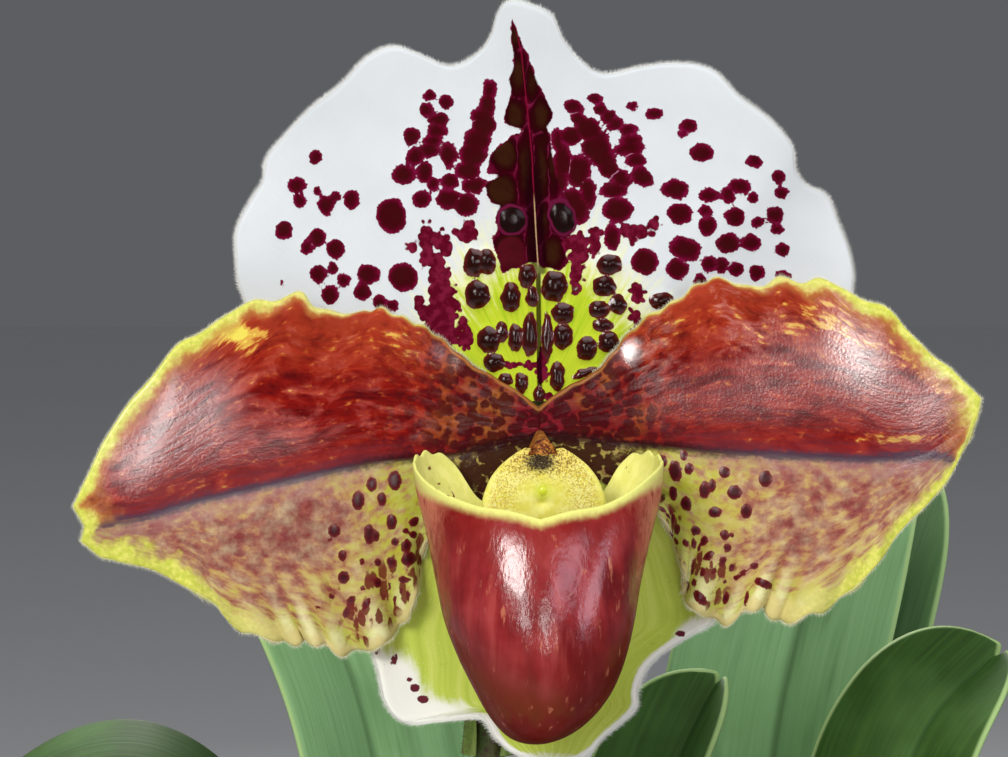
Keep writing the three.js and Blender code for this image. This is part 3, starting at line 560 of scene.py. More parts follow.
# Upper sepal: white, spotted maroon, with black warts at its green foot.
dorsal = {
    "rows": 166, "columns": 242, "thick": (1.2, 0.8), "wartRise": 0.62, "lowRise": 0.16, "ridgeRise": 0.3,
    "stray": 0.11, "spread": 0.1, "foot": (2.5, 3.0), "span": 45, "set": 2.1, "lean": 5, "bow": (1.5, 5.5),
    "wave": 0.9,
    "midline": [(-3.6, 55), (-2.3, 49), (-1.0, 36), (-0.5, 26), (-0.2, 21), (0, 3)],
    "outline": [[-6, 3.8], [-12.5, 5.2], [-21.5, 8.5], [-30.5, 11], [-37.5, 14], [-40, 18], [-40.5, 22],
        [-40.5, 26], [-38.5, 30], [-37, 32.5], [-36.5, 35.5], [-34, 38.5], [-30.5, 42], [-26.5, 45],
        [-23, 48.5], [-19.5, 50], [-16, 49], [-12, 47.5], [-8.5, 49], [-6.5, 51.5], [-5.5, 54.5],
        [-4, 56], [-1.5, 55.5], [1.5, 54], [3, 51], [5.5, 48], [8.5, 46.5], [13.5, 47.5], [18.5, 48],
        [23, 47], [26.5, 43.5], [30.5, 40.5], [33.5, 37], [34, 34], [35.5, 32], [38.5, 30.5], [40, 27],
        [41.5, 23], [42, 19], [40.5, 15], [34.5, 11], [25.5, 8], [13.5, 5.2], [6, 3.8]],
    # ovals: [x, z, half width, half height if another, turn]; a list of ovals is one joined spot
    "spots": [[-29.8, 35.6, 0.87], [-32.4, 31.9, 1.33, 0.93], [-32, 29.8, 0.93], [-29.6, 31.1, 0.6],
        [-27.2, 30.4, 0.73], [-28.5, 29.2, 1.2, 1.33], [-25.1, 30, 1.07, 1.27], [-19.7, 27.8, 2, 2.33],
        [-34.1, 25.9, 1.2], [-29.6, 24.9, 1.2], [-31, 23.5, 0.93], [-27.3, 23.4, 1.2], [-29.6, 20, 1.2],
        [-27.6, 20.8, 0.8], [-26.1, 19.2, 1], [-22.9, 20, 1.53, 1.33], [-23.6, 17.6, 1.13],
        [-28, 17.2, 1.2], [-18.1, 19.6, 2, 1.8], [[-21.3, 16.2, 1.07, 0.93], [-19.7, 15.8, 0.8]],
        [-14.6, 43.7, 0.8], [-12.4, 42.8, 0.86], [-15, 41.8, 0.86], [[-13.4, 40.5, 1.33, 0.93],
        [-13.6, 39.1, 1.33, 0.93], [-14.2, 37.7, 1.33, 0.93], [-14.7, 36.5, 1.26, 0.93]],
        [-17, 38.3, 1.13], [-16.6, 35.7, 1.2, 1.06], [-15.3, 33.6, 1.13, 1.4], [-18.1, 33.3, 1.6, 1.33],
        [-14.2, 32, 0.93], [-15.7, 29.9, 1.26, 1.13], [-12.2, 30, 1.66, 1.4], [-9.7, 29.2, 1.66, 1.53],
        [-11.9, 32.4, 1.2, 1], [-8.7, 31.8, 1.53, 1.2], [-12.1, 35.8, 1.13, 1.66], [[-7.5, 39.8, 1.59],
        [-8.2, 37.8, 1.79, 1.59], [-8.9, 35.8, 1.79, 1.59], [-9.5, 33.8, 1.66, 1.33]],
        [[-6.6, 44.4, 0.86, 1.33], [-7, 42.5, 1.19, 1.33], [-7.7, 40.9, 1.46, 1.19]],
        [4.4, 42.2, 1.26, 0.93, -25], [[7.3, 43.2, 0.93, 0.66, -20], [8, 41.9, 0.8], [9.1, 40.9, 1, 0.93],
        [10, 40, 1.2, 0.93], [11.7, 39.1, 1.33, 0.8], [12.1, 37.8, 1.46, 0.93], [12, 36.8, 1.86, 1.06],
        [10.8, 36.4, 0.93, 0.66]], [12.8, 35.2, 1.4, 1.06, -10], [13.7, 32.9, 1.66, 1.2, -35],
        [[5.2, 40.6, 1.19, 0.8, -30], [6.4, 39.2, 1.86, 1.46, -35], [7.9, 38.3, 1.33, 0.8, -20],
        [7.5, 36.7, 2.06, 1.59], [8.3, 35.3, 1.79, 1.26, -20], [9.2, 34, 1.6, 1.2, -35],
        [4.1, 38.3, 1.59, 1.13], [2.4, 37.4, 0.86, 1.86], [3, 35, 1.26, 2.52], [2.7, 32.3, 1, 1.86]],
        [10.7, 32.8, 1.66, 1.06, -35], [5.1, 33.7, 1.53, 2.26, -10], [6.4, 30.9, 1.06, 2.26, 10],
        [4.6, 29, 1.6, 2.53, 25], [9.8, 31.1, 1.8, 1.13], [10.4, 28.5, 2, 1.66], [12.2, 42.3, 0.86, 0.6],
        [15.2, 41.3, 1.13, 0.86], [19.8, 39.7, 1.2, 0.93], [19, 38.6, 0.6, 0.47], [21.7, 36.1, 1.6, 1.2],
        [28.5, 35, 1.06, 0.93], [31.7, 33, 0.8], [32.1, 30.9, 1, 0.8], [18.1, 31.3, 1.8, 1.33],
        [18.6, 28.1, 1.6, 1.4], [22.5, 30.5, 1.4, 1], [22.1, 28.5, 0.8, 0.67], [22.3, 26.4, 1.13, 1.33],
        [25.1, 30.6, 1, 1.13], [26.6, 31.7, 1.46, 1.06], [28.3, 30.3, 0.8], [26, 27.7, 1.33, 1.13],
        [29, 27, 0.8], [[31.3, 28, 1.13, 1.2], [31.7, 26.1, 0.93, 0.8]], [25.1, 24.2, 1.53, 1.33],
        [28.2, 24.3, 1.4, 1.2], [32.4, 23.3, 1.14, 0.94], [19.4, 23.4, 2.07, 1.53, -15],
        [18.3, 20.6, 1.53, 1.4], [22.5, 21.5, 0.93, 1.13], [24.3, 21.2, 0.87, 1.07], [26.2, 20.7, 1],
        [29, 20.2, 1], [32.5, 19.8, 1.07, 0.74], [21.4, 19.2, 0.93], [14, 21.6, 1.8, 1.73],
        [9.6, 24.9, 1.13, 1.73], [-34.4, 19.1, 0.23, 0.17], [-34.5, 17.9, 0.23]],
    "smears": [[[-15.1, 25.3, 0.8, 1.47], [-16.9, 23.6, 0.93, 0.73], [-13.3, 24.4, 0.93],
        [-12.3, 23.2, 0.73, 1.2], [-14.9, 22.4, 0.93, 1.47], [-13.5, 21.6, 1.07], [-13.4, 19.9, 1.33],
        [-13, 17.9, 1.73, 1.47], [-12.9, 15.9, 1.93, 1.47], [-13, 14.2, 2, 1.33],
        [-12.9, 12.4, 2.06, 1.33], [-12.9, 11, 1.47, 0.93]], [[-16.1, 16.2, 0.6, 0.8],
        [-15.3, 14.7, 0.73, 0.93], [-14.6, 13.2, 0.8, 0.93]], [[-10.2, 13.6, 0.8, 0.6],
        [-10.9, 12.4, 0.6, 0.8], [-9.8, 11.4, 0.87, 1.2]], [-9.5, 25.6, 1.33], [-11.1, 25.6, 0.6],
        [-12.9, 25.9, 0.33], [[13.1, 25.6, 2.13, 1], [12.4, 24.7, 0.8], [15.1, 26.4, 0.47, 1.13],
        [11.2, 25.5, 0.67, 0.87]], [7.2, 24, 0.8, 1.46], [7.4, 25.7, 0.87, 0.6], [[5.2, 23.2, 1.33, 2.13],
        [4, 24, 1.46, 0.93], [5, 20.5, 1, 1.33], [4.8, 18, 0.53, 0.93]], [12.6, 14.2, 0.6, 1],
        [13.1, 17.6, 0.87, 1.33], [0.3, 7, 0.66, 2.13], [-2.6, 7.8, 1.73, 0.33], [1.2, 3.5, 0.53]],
    "warts": [[[-8.7, 21.5, 1.46, 2.06], [-7, 21.6, 1.33, 1.8]], [-8.3, 17.2, 1.73, 2],
        [-3.8, 16.9, 1.33, 2], [-1.7, 19.7, 1.26, 1.73], [1.9, 18.3, 1.73, 2.2], [-1, 16.9, 0.93, 1.46],
        [3.1, 14.8, 1.53, 1.46], [3, 11.6, 1.33, 1.86], [1, 11.5, 0.8, 3.46], [-1.3, 11.9, 1.13, 2.99],
        [-3.2, 11.4, 1.06, 2], [-5, 12.2, 0.86, 1.46], [-6.7, 11.2, 1.6, 1.73], [-6.1, 8.2, 1.46, 1.26],
        [-4.5, 5.9, 0.93, 0.8], [-2.4, 5.4, 0.93, 1.46], [-0.1, 3.9, 0.8, 1.26], [2.3, 6.3, 1.06, 2.13],
        [6, 6.8, 1.99, 0.66, 20], [6.2, 10, 1.4, 1.73], [9.1, 10.8, 1.46], [8.4, 13.1, 1.46, 0.93],
        [7.9, 15.2, 1.4, 1.2], [10.4, 15.9, 1.27, 1.4], [8.6, 18.3, 1.66, 1.46], [9.2, 21.2, 1.73, 1.47],
        [16.3, 16.4, 1.73, 1.13], [4.8, 17.9, 0.53]],
    "wineBlock": [[-3.8, 22.4, 2.2, 2.6]],
    "lowWarts": [[-3.7, 27.2, 1.8, 1.8], [3, 27.5, 1.5, 2.1, 15]],
    "cobbles": [[-4.7, 36.1, 1.9, 2.6], [-5.1, 31, 2.3, 2.4], [-3.7, 27.2, 2.2], [-3.9, 22.8, 2.4, 2.8],
        [-1.9, 34.2, 1.1, 5], [-1.2, 24.3, 0.7, 3.9], [0.3, 34.2, 1.1, 5.5], [1.8, 34.4, 0.8, 4.2],
        [2.9, 27.3, 1.7, 2.3], [0.6, 27.4, 0.8, 3], [1.8, 22.7, 1.4, 2.6], [-3.2, 41, 1.5, 2.5],
        [0.2, 41, 1.5, 2.4], [-2.8, 46.6, 1.3, 3.2], [-0.9, 45.4, 1, 2.8], [-3.1, 51.6, 1, 2.4]],
    "flame": [[-3.6, 54.1], [-3.2, 53.0], [-2.6, 51.6], [-2.0, 50.0], [-1.3, 48.5], [-0.8, 47.0],
        [0.1, 44.8], [0.7, 43.7], [1.3, 42.6], [2.0, 41.3], [1.6, 40.2], [1.1, 39.5], [1.5, 38.0],
        [1.9, 35.6], [2.3, 32.9], [3.0, 31.4], [3.9, 29.8], [4.7, 28.0], [4.8, 26.4], [4.0, 24.9],
        [3.0, 24.1], [3.5, 22.9], [4.0, 21.5], [2.7, 20.3], [0.7, 20.8], [-0.4, 21.5], [-1.6, 21.3],
        [-3.3, 20.7], [-4.9, 20.0], [-5.4, 21.1], [-5.8, 22.7], [-6.3, 24.1], [-6.3, 25.1], [-5.5, 25.9],
        [-5.9, 26.9], [-5.8, 28.3], [-5.4, 29.0], [-6.3, 29.3], [-7.1, 30.4], [-7.4, 32.0], [-5.6, 33.0],
        [-7.1, 33.5], [-6.9, 35.1], [-6.2, 36.5], [-5.0, 37.4], [-3.8, 38.3], [-2.2, 39.1], [-4.5, 39.8],
        [-4.9, 40.7], [-4.6, 41.7], [-3.8, 44.1], [-4.1, 45.8], [-3.4, 47.7], [-3.6, 50.1], [-3.8, 51.2],
        [-3.7, 52.7]],
}


# The rise of rounded warts over the sheet.
def wartRelief(x, z, groups, share):
    rise = np.zeros(x.shape)
    for group in groups:
        for oval in ovalsOf(group):
            small = min(oval[2:4])
            depth = np.clip(ovalDepth(x, z, [oval])[0] / small, 0, 1)
            rise = np.maximum(rise, share * min(small, 1.6) * (1 - (1 - depth) ** 3.4))
    return rise


# A field on the grid with its sharp corners worn off.
def worn(grid, times):
    for _ in range(times):
        wide = np.pad(grid, 1, mode="edge")
        grid = (wide[:-2, 1:-1] + 2 * grid + wide[2:, 1:-1]) / 4
        wide = np.pad(grid, 1, mode="edge")
        grid = (wide[1:-1, :-2] + 2 * grid + wide[1:-1, 2:]) / 4
    return grid


def dorsalPaint():
    paint = Paint("dorsal_sepal_tissue")
    place = paint.place()
    rays = paint.vectorField("rays")
    front = paint.field("face")
    lumps = paint.cells(place, 2300)
    soft = paint.grain(place, 700, 2)
    cloud = paint.grain(place, 90, 2)
    veins = paint.grain(paint.stretched(rays, 1, 0.05, 1), 2.2, 3)

    # white tissue, turning yellow and then lime at the foot, with green streaks up the veins
    colour = paint.mix(cloud, (194, 199, 201), (214, 218, 219))
    reach = paint.field("green") + (veins - 0.5) * 0.6 + (soft - 0.5) * 0.3
    colour = paint.mix(paint.ease(reach, -0.12, 0.3), colour, (226, 226, 168))
    colour = paint.mix(paint.ease(reach, 0.08, 0.4), colour, (178, 194, 46))
    streak = paint.ease(veins, 0.48, 0.68) * paint.ease(reach, 0.05, 0.5)
    colour = paint.mix(streak * 0.5, colour, (132, 176, 22))

    # loose purple smears
    grains = paint.cells(place, 1050)
    blotch = paint.grain(place, 520, 1.5)
    smear = paint.field("smear") + 0.2 + (blotch - 0.5) * 1.2 - (grains - 0.4) * 0.9
    purple = paint.mix(paint.ease(paint.grain(place, 900, 2), 0.4, 0.65), (84, 8, 28), (110, 22, 48))
    colour = paint.mix(paint.ease(smear, -0.1, 0.06), colour, purple)

    # spots with scalloped edges, purple at the rim and brown-black within
    flame = paint.field("flameDepth")
    scallops = (paint.cells(place, 640) - 0.42) * 0.5 * paint.ease(flame.maths("ABSOLUTE"), 0.9, 0.4)
    spot = paint.field("spot") + (soft - 0.5) * 0.22 - (lumps - 0.35) * 0.24 - scallops
    inside = paint.ease(spot, -0.06, 0.04)
    maroon = paint.ramp(paint.ease(spot, 0, 0.8), (0, (112, 16, 54)), (0.25, (90, 8, 34)),
                        (0.6, (74, 6, 22)), (1, (60, 8, 14)))
    mottle = paint.ease(paint.grain(place, 520, 3), 0.42, 0.66)
    maroon = paint.mix(mottle * 0.3, maroon, (54, 18, 14))
    colour = paint.mix(inside, colour, maroon)

    # cobbles inside the flame: purple at the edge, nearly black within, olive at heart
    inFlame = paint.ease(flame, 0.0, 0.3)
    cobble = paint.field("cobble") + (soft - 0.5) * 0.5
    tone = paint.ramp(paint.ease(cobble, -0.4, 1.5), (0, (92, 10, 40)), (0.2, (74, 5, 26)),
                      (0.4, (46, 2, 11)), (0.7, (42, 9, 8)), (1, (50, 24, 11)))
    wine = paint.ease(paint.field("wineBlock") + (soft - 0.5) * 0.3, -0.1, 0.3)
    tone = paint.mix(wine * 0.7, tone, (80, 8, 26))
    colour = paint.mix(inFlame, colour, paint.mix(mottle * 0.25, tone, (34, 4, 6)))
    gap = paint.ease(paint.field("cobbleSeam") + (soft - 0.5) * 0.3, 0.2, 0.04)
    colour = paint.mix(gap * inFlame * paint.ease(mottle, 0.9, 0.3) * 0.4, colour, (132, 34, 72))
    seam = paint.ease(paint.field("seam"), 0.14, 0.03) * inside * paint.ease(flame, 0.2, -0.1)
    colour = paint.mix(seam * 0.85, colour, (190, 134, 160))
    low = paint.field("low") + (soft - 0.5) * 0.2
    colour = paint.mix(paint.ease(low, -0.45, -0.25) * paint.ease(low, 0.15, -0.05), colour, (92, 20, 50))
    colour = paint.mix(paint.ease(low, 0.0, 0.2), colour, (24, 8, 7))
    midline = paint.field("midline")
    dark = paint.ease(midline.maths("ABSOLUTE") + (soft - 0.5) * 0.6, 1.5, 0.8) * paint.field("midlineDark")
    colour = paint.mix(dark * 0.9, colour, (24, 3, 8))
    line = paint.ease(midline.maths("ABSOLUTE") + (soft - 0.5) * 0.06, 0.12, 0.04)
    colour = paint.mix(line * paint.field("midlineShow") * 0.8, colour, (120, 14, 44))
    colour = paint.mix(line * paint.field("midlinePale") * 0.75, colour, (196, 160, 116))

    # warts, glossy and nearly black
    wart = paint.field("wart") + (soft - 0.5) * 0.12 - (lumps - 0.35) * 0.08
    onWart = paint.ease(wart, -0.06, 0.05)
    black = paint.ramp(paint.ease(wart, 0, 0.9), (0, (84, 18, 12)), (0.3, (58, 11, 8)),
                       (1, (34, 8, 5)))
    colour = paint.mix(onWart, colour, black)

    # the back is plain, with a green middle and the spots faintly through
    back = paint.mix(paint.ease(paint.field("edge"), 4, 26), (232, 236, 228), (190, 206, 110))
    back = paint.mix(inside * 0.35, back, (150, 90, 120))
    colour = paint.mix(front, back, colour)

    fine = paint.bump(paint.cells(place, 3600), 0.03, 0.35)
    ribs = paint.bump(veins, 0.12, 0.35, fine)
    # the rounded shoulders of a wart shine most
    shoulder = 1 - paint.ease(wart, 0.3, 0.8) * 0.6
    shine = (onWart * shoulder + paint.ease(low, 0.0, 0.3) * 0.35).least(1) * front
    return paint.finish({
        "Base Color": colour, "Roughness": 0.66, "Normal": ribs, "Specular IOR Level": 0.0,
    }, shine, {"Roughness": 0.15, "Specular IOR Level": 0.4, "Normal": paint.bump(soft, 0.04, 0.2)})


def makeDorsal():
    # the grid is closest round the middle, where the warts are
    turns = stops(dorsal["columns"])
    turns = turns + 0.5 * np.sin(2 * np.pi * turns) / (2 * np.pi)
    out, around = np.meshgrid(stops(dorsal["rows"]) ** 1.3, turns, indexing="ij")
    rim = curveThrough(dorsal["outline"])(around)
    footHalf, footZ = dorsal["foot"]
    footX = mix(-footHalf, footHalf, around)
    size = np.hypot(rim[..., 0] - footX, rim[..., 1] - footZ) / dorsal["span"]
    x, z = mix(footX, rim[..., 0], out), mix(footZ, rim[..., 1], out)
    forward = np.sin(np.pi * around) ** 2
    wave = dorsal["wave"] * out ** 4 * np.sin(10 * np.pi * around + 0.6)
    bow = dorsal["bow"][0] + dorsal["bow"][1] * forward
    y = dorsal["set"] + size * (dorsal["lean"] * out - bow * out ** 2 + wave)
    middle = np.stack([x, y, z], -1)
    half = mix(*dorsal["thick"], out ** 2) / 2

    bentX, bentZ = strayed(x, z, dorsal["stray"], 1.5)
    spot, second = ovalDepth(bentX, bentZ, dorsal["spots"])
    spot, second = spot + dorsal["spread"], second + dorsal["spread"]
    flame = outlineDepth(x, z, dorsal["flame"])
    second = np.maximum(second, np.minimum(spot, flame))
    spot = np.maximum(spot, flame)
    wartX, wartZ = strayed(x, z, 0.1, 1.7)
    wart = ovalDepth(wartX, wartZ, dorsal["warts"])[0]
    low = ovalDepth(bentX, bentZ, dorsal["lowWarts"])[0]
    heights = [point[1] for point in dorsal["midline"]][::-1]
    midline = x - np.interp(z, heights, [point[0] for point in dorsal["midline"]][::-1])
    cobble, nextCobble = (depth + 0.35 for depth in ovalDepth(bentX, bentZ, dorsal["cobbles"]))
    ridge = dorsal["ridgeRise"] * np.exp(-(midline / 0.4) ** 2) * (1 - ease(z, 30, 50))
    relief = np.maximum(worn(wartRelief(wartX, wartZ, dorsal["warts"], dorsal["wartRise"]), 4), ridge)
    relief = np.maximum(relief, worn(wartRelief(bentX, bentZ, dorsal["lowWarts"], dorsal["lowRise"]), 3))
    relief += 0.1 * ease(spot, -0.05, 0.3) * (wart < 0)
    relief += 0.14 * np.sqrt(np.clip(cobble, 0, 1)) * ease(flame, 0, 0.5) * (wart < 0)
    turned = np.arctan2(x, z - 1)
    fields = {
        "spot": spot, "seam": np.where(second > -1, spot - second, 2), "wart": wart,
        "low": low, "flameDepth": flame, "cobble": cobble, "cobbleSeam": cobble - nextCobble,
        "smear": ovalDepth(x, z, dorsal["smears"])[0], "midline": midline,
        "midlineShow": ease(z, 29, 32) * (1 - ease(z, 50, 54)),
        "wineBlock": ovalDepth(x, z, dorsal["wineBlock"])[0],
        "midlineDark": np.where(z < 20, 1 - ease(np.abs(midline), 0.25, 0.4), 0.85) * (1 - ease(z, 31, 38)),
        "midlinePale": ease(z, 20.8, 21.6) * (1 - ease(z, 29, 31)),
        "green": 1 - np.sqrt((x / 19) ** 2 + ((z - 3) / 25.5) ** 2),
        "rays": np.stack([turned * 14, np.hypot(x, z - 1), 0 * x], -1),
    }
    piece = makeSheet("dorsal_sepal_skin", middle, half, dorsalPaint(), -1, relief, fields, fromBloom)
    settle(piece, "dorsal_sepal", "dorsal_sepal")
    return marginRoots("dorsal_sepal_hairs", middle, fromBloom, dorsal["rows"] - 1)


# Petals: mahogany over yellow, spotted near the pouch, with ruffled lower margins.
petals = {
    "petal_left": {
        "upper": [[0.1, 2.1], [-3, 4.5], [-6.5, 6.5], [-10, 9], [-13, 11], [-15.5, 13], [-18, 14.5],
            [-21, 15.5], [-24, 14.5], [-28.5, 15.5], [-32.5, 17], [-38, 16], [-43.5, 13], [-49, 8.5],
            [-54.5, 1.5], [-58, -5], [-60.5, -10.5]],
        "midrib": [[-0.2, -1.4], [-11.5, -4], [-22.5, -5], [-34, -7.5], [-45, -10], [-52, -12], [-59, -13]],
        "lower": [[-1.9, -3.4], [-6, -8.5], [-10.5, -12.5], [-14.5, -15], [-16, -19], [-16.5, -23.5],
            [-18.5, -27.5], [-21.5, -29.5], [-26, -30], [-30, -29], [-34.5, -28.5], [-39, -27],
            [-43.5, -23], [-48, -20], [-53.5, -18], [-57, -17], [-59.5, -15]],
        "spots": [[-24, -10, 0.85, 1.31], [-22.2, -7.9, 0.72, 0.99], [-20.9, -9.8, 0.66, 0.99],
            [-19.2, -7.4, 0.92, 1.32], [-27.1, -13.9, 0.85, 0.98], [[-22.6, -14.4, 0.72, 1.45],
            [-21.7, -14.6, 0.59, 0.79]], [-19.6, -12.8, 0.72, 1.12], [-19.1, -15.4, 0.59],
            [-17.8, -16, 0.59, 0.92], [-16.8, -12.8, 0.86, 0.59, 40], [-17.9, -14, 0.4],
            [-17, -14.5, 0.59, 0.53, 30], [-26, -17.2, 0.59, 0.85], [-25.8, -20, 0.79, 0.92],
            [-19.6, -18.1, 0.59, 0.86, 30], [-17.5, -17.7, 0.79, 0.92], [-21.5, -18.1, 0.59],
            [-23.6, -18, 0.39, 0.53], [-17.9, -20.4, 0.86, 0.53], [-21.7, -20.8, 0.59, 0.79],
            [-23.4, -21.5, 0.33, 0.39], [-27.6, -15.1, 0.33], [-20.4, -22.4, 0.26, 0.79],
            [-19, -23.1, 0.26, 0.92], [-24.7, -23, 0.53, 0.79, -35], [-22.9, -23.6, 0.46, 0.92, -20],
            [-27.5, -22.5, 0.46], [-29.3, -24, 0.39, 0.33], [-17.2, -22.5, 0.33, 0.92],
            [-25.4, -24.6, 0.53, 1.05, -25], [-16, -15.2, 0.26, 0.66, -25],
            [-16.2, -17.9, 0.33, 0.79, -10], [-18.3, -21.8, 0.26, 0.53], [-19.8, -21.1, 0.26, 0.66]],
    },
    "petal_right": {
        "upper": [[-0.25, 2.3], [3.5, 5], [6.5, 6.5], [9, 9], [11.5, 11.5], [14.5, 14.5], [17.5, 16.5],
            [20.5, 18.5], [24, 19], [28, 18.5], [32.5, 19], [37, 19], [41.5, 17], [46.5, 14], [50.5, 9.5],
            [54, 6.5], [57, 3.5]],
        "midrib": [[0.1, -1.4], [12, -2.5], [22, -3.5], [32.5, -4], [42.5, -4.5], [49.5, -4], [56.5, 1]],
        "lower": [[1.7, -3.4], [6.5, -6.5], [11, -9.5], [15.5, -12], [18, -16], [19, -20], [19, -23.5],
            [21, -25], [24.5, -26], [28.5, -24.5], [32.5, -26], [36.5, -24.5], [40.5, -22], [44.5, -17],
            [48.5, -12], [52.5, -7.5], [55.5, -1.5]],
        "spots": [[17.9, -6.1, 0.86, 1.45, 10], [19.7, -5.8, 0.66, 0.79], [19, -4.1, 0.59, 0.79],
            [16.2, -4.8, 0.59, 0.92, 15], [24.3, -6.3, 0.79], [29.6, -7.1, 0.92, 1.11],
            [[21.7, -8.6, 0.72, 1.18], [22.7, -8, 0.53, 0.92]], [25.6, -8.9, 0.99],
            [17.7, -9, 0.59, 1.05, 5], [19.4, -10.4, 0.66, 1.05, 12], [23.1, -11.5, 0.92, 0.79],
            [27.1, -11.3, 0.79, 1.05], [16, -11.3, 0.59, 0.33, -40], [16.8, -12.1, 0.53, 0.33, -45],
            [17.3, -11.5, 0.33, 0.4], [17.8, -12.3, 0.4, 0.73], [18.5, -13.8, 0.4, 0.73],
            [20.5, -13.9, 0.72, 0.66, -20], [24.3, -14.5, 0.59, 0.72], [25.2, -14.5, 0.33, 0.39],
            [21.8, -15.3, 0.59, 0.79, -10], [20.3, -15.6, 0.33, 0.66], [21.1, -16.2, 0.33, 0.59],
            [24.6, -16.1, 0.53, 0.59], [22.4, -17.3, 0.46, 0.86, -35], [23.9, -17.9, 0.46, 0.79, -25],
            [25.2, -18.7, 0.53, 0.59], [28.2, -18.5, 0.59, 0.53], [19.3, -15.6, 0.26, 0.53],
            [17.5, -14.6, 0.26, 0.66, 30], [18.4, -15.4, 0.26, 0.59, 25], [20, -18.5, 0.26, 0.59, -15],
            [20.4, -19.4, 0.26, 0.72, -10], [21.7, -19.4, 0.33, 0.79, -12],
            [22.8, -19.2, 0.26, 0.66, -15], [20.7, -20.9, 0.33, 0.59], [23.4, -20.2, 0.2, 0.59, -25],
            [24.2, -20.5, 0.33, 0.39], [26.9, -19.5, 0.39, 0.59, -20], [26, -20.1, 0.46],
            [24.7, -22.8, 0.59, 0.92], [27.3, -22.8, 0.46, 1.18, -5], [29.3, -20.8, 1.05, 0.59, -30],
            [21.1, -22.8, 0.53, 1.05, 15]],
    },
}
petalShape = {
    "rows": 190, "columns": 104, "thick": (1.1, 0.8), "spotRise": 0.11, "crimp": 1.0,
    "set": 0.7, "reach": 9, "groove": 0.5,
    # upper half, lower half
    "bow": (3, 2), "ruffle": (0.6, 1.1),
    # clouds of gloss, of yellow and of wine: [x, z, reach across, reach up, strength, turn]
    "petal_left": {
        "veinEnd": [-60, -13.2],
        "gloss": [[-50, -3, 6, 6, 1, 30], [-46, 3, 5, 4, 0.8, 30], [-38, -4, 10, 4, 0.35, 0],
            [-12.6, 9, 1.8, 1, 0.7, -42]],
        "yellow": [[-40, 12.2, 3.4, 1.4, 1.5, -38], [-43.5, 12, 3.5, 1.7, 1.3, 35],
            [-36.5, 12, 2, 0.7, 0.6, -18], [-47, 5.5, 3, 0.6, 0.3, 35], [-31, -9.5, 5, 0.5, 0.3, 8],
            [-24, 11, 7, 1.5, 0.22, 5], [-18, 10, 5, 2.5, 0.25, -35], [-44, -8, 6, 0.6, 0.3, 10]],
        "wine": [[-40, -16, 14, 5.5, 0.95, 8], [-29, -14, 7, 5, 0.6, 0], [-34, -23, 7, 3, 0.5, 0],
            [-24, -25, 4, 3, 0.35, 0], [-52, -14, 7, 2.4, 0.6, 10], [-31, -10, 9, 2.6, 0.45, 10]],
    },
    "petal_right": {
        "veinEnd": [58, -4.6],
        "gloss": [[40, 8.5, 7, 4, 1, -20], [30, 3, 13, 4.5, 0.4, 0], [11.3, 9.2, 1.8, 1, 1, 42],
            [49, 2, 5, 5, 0.5, 0]],
        "yellow": [[37, 15, 6, 2.2, 0.45, 0], [41, 11.5, 5, 1.6, 0.35, -28], [34, 12.5, 6, 1.4, 0.35, 0],
            [47.5, -1.7, 6, 0.55, 0.75, 0], [48, 8.5, 4.5, 1, 0.45, -40], [24, 14.5, 5, 1.8, 0.25, 15],
            [17, 12, 4, 1.8, 0.22, 40], [52, 4.5, 2.5, 0.8, 0.45, -35], [30, 11, 4, 0.8, 0.3, 0]],
        "wine": [[40, -10, 12, 6, 0.75, 0], [30, -7, 8, 2.6, 0.4, 0], [33, -16, 7, 4, 0.7, -10],
            [48, -5, 5, 5, 0.6, 60], [27, -18, 3, 3, 0.2, 0], [26, -22, 2, 2, 0.3, 0]],
    },
}


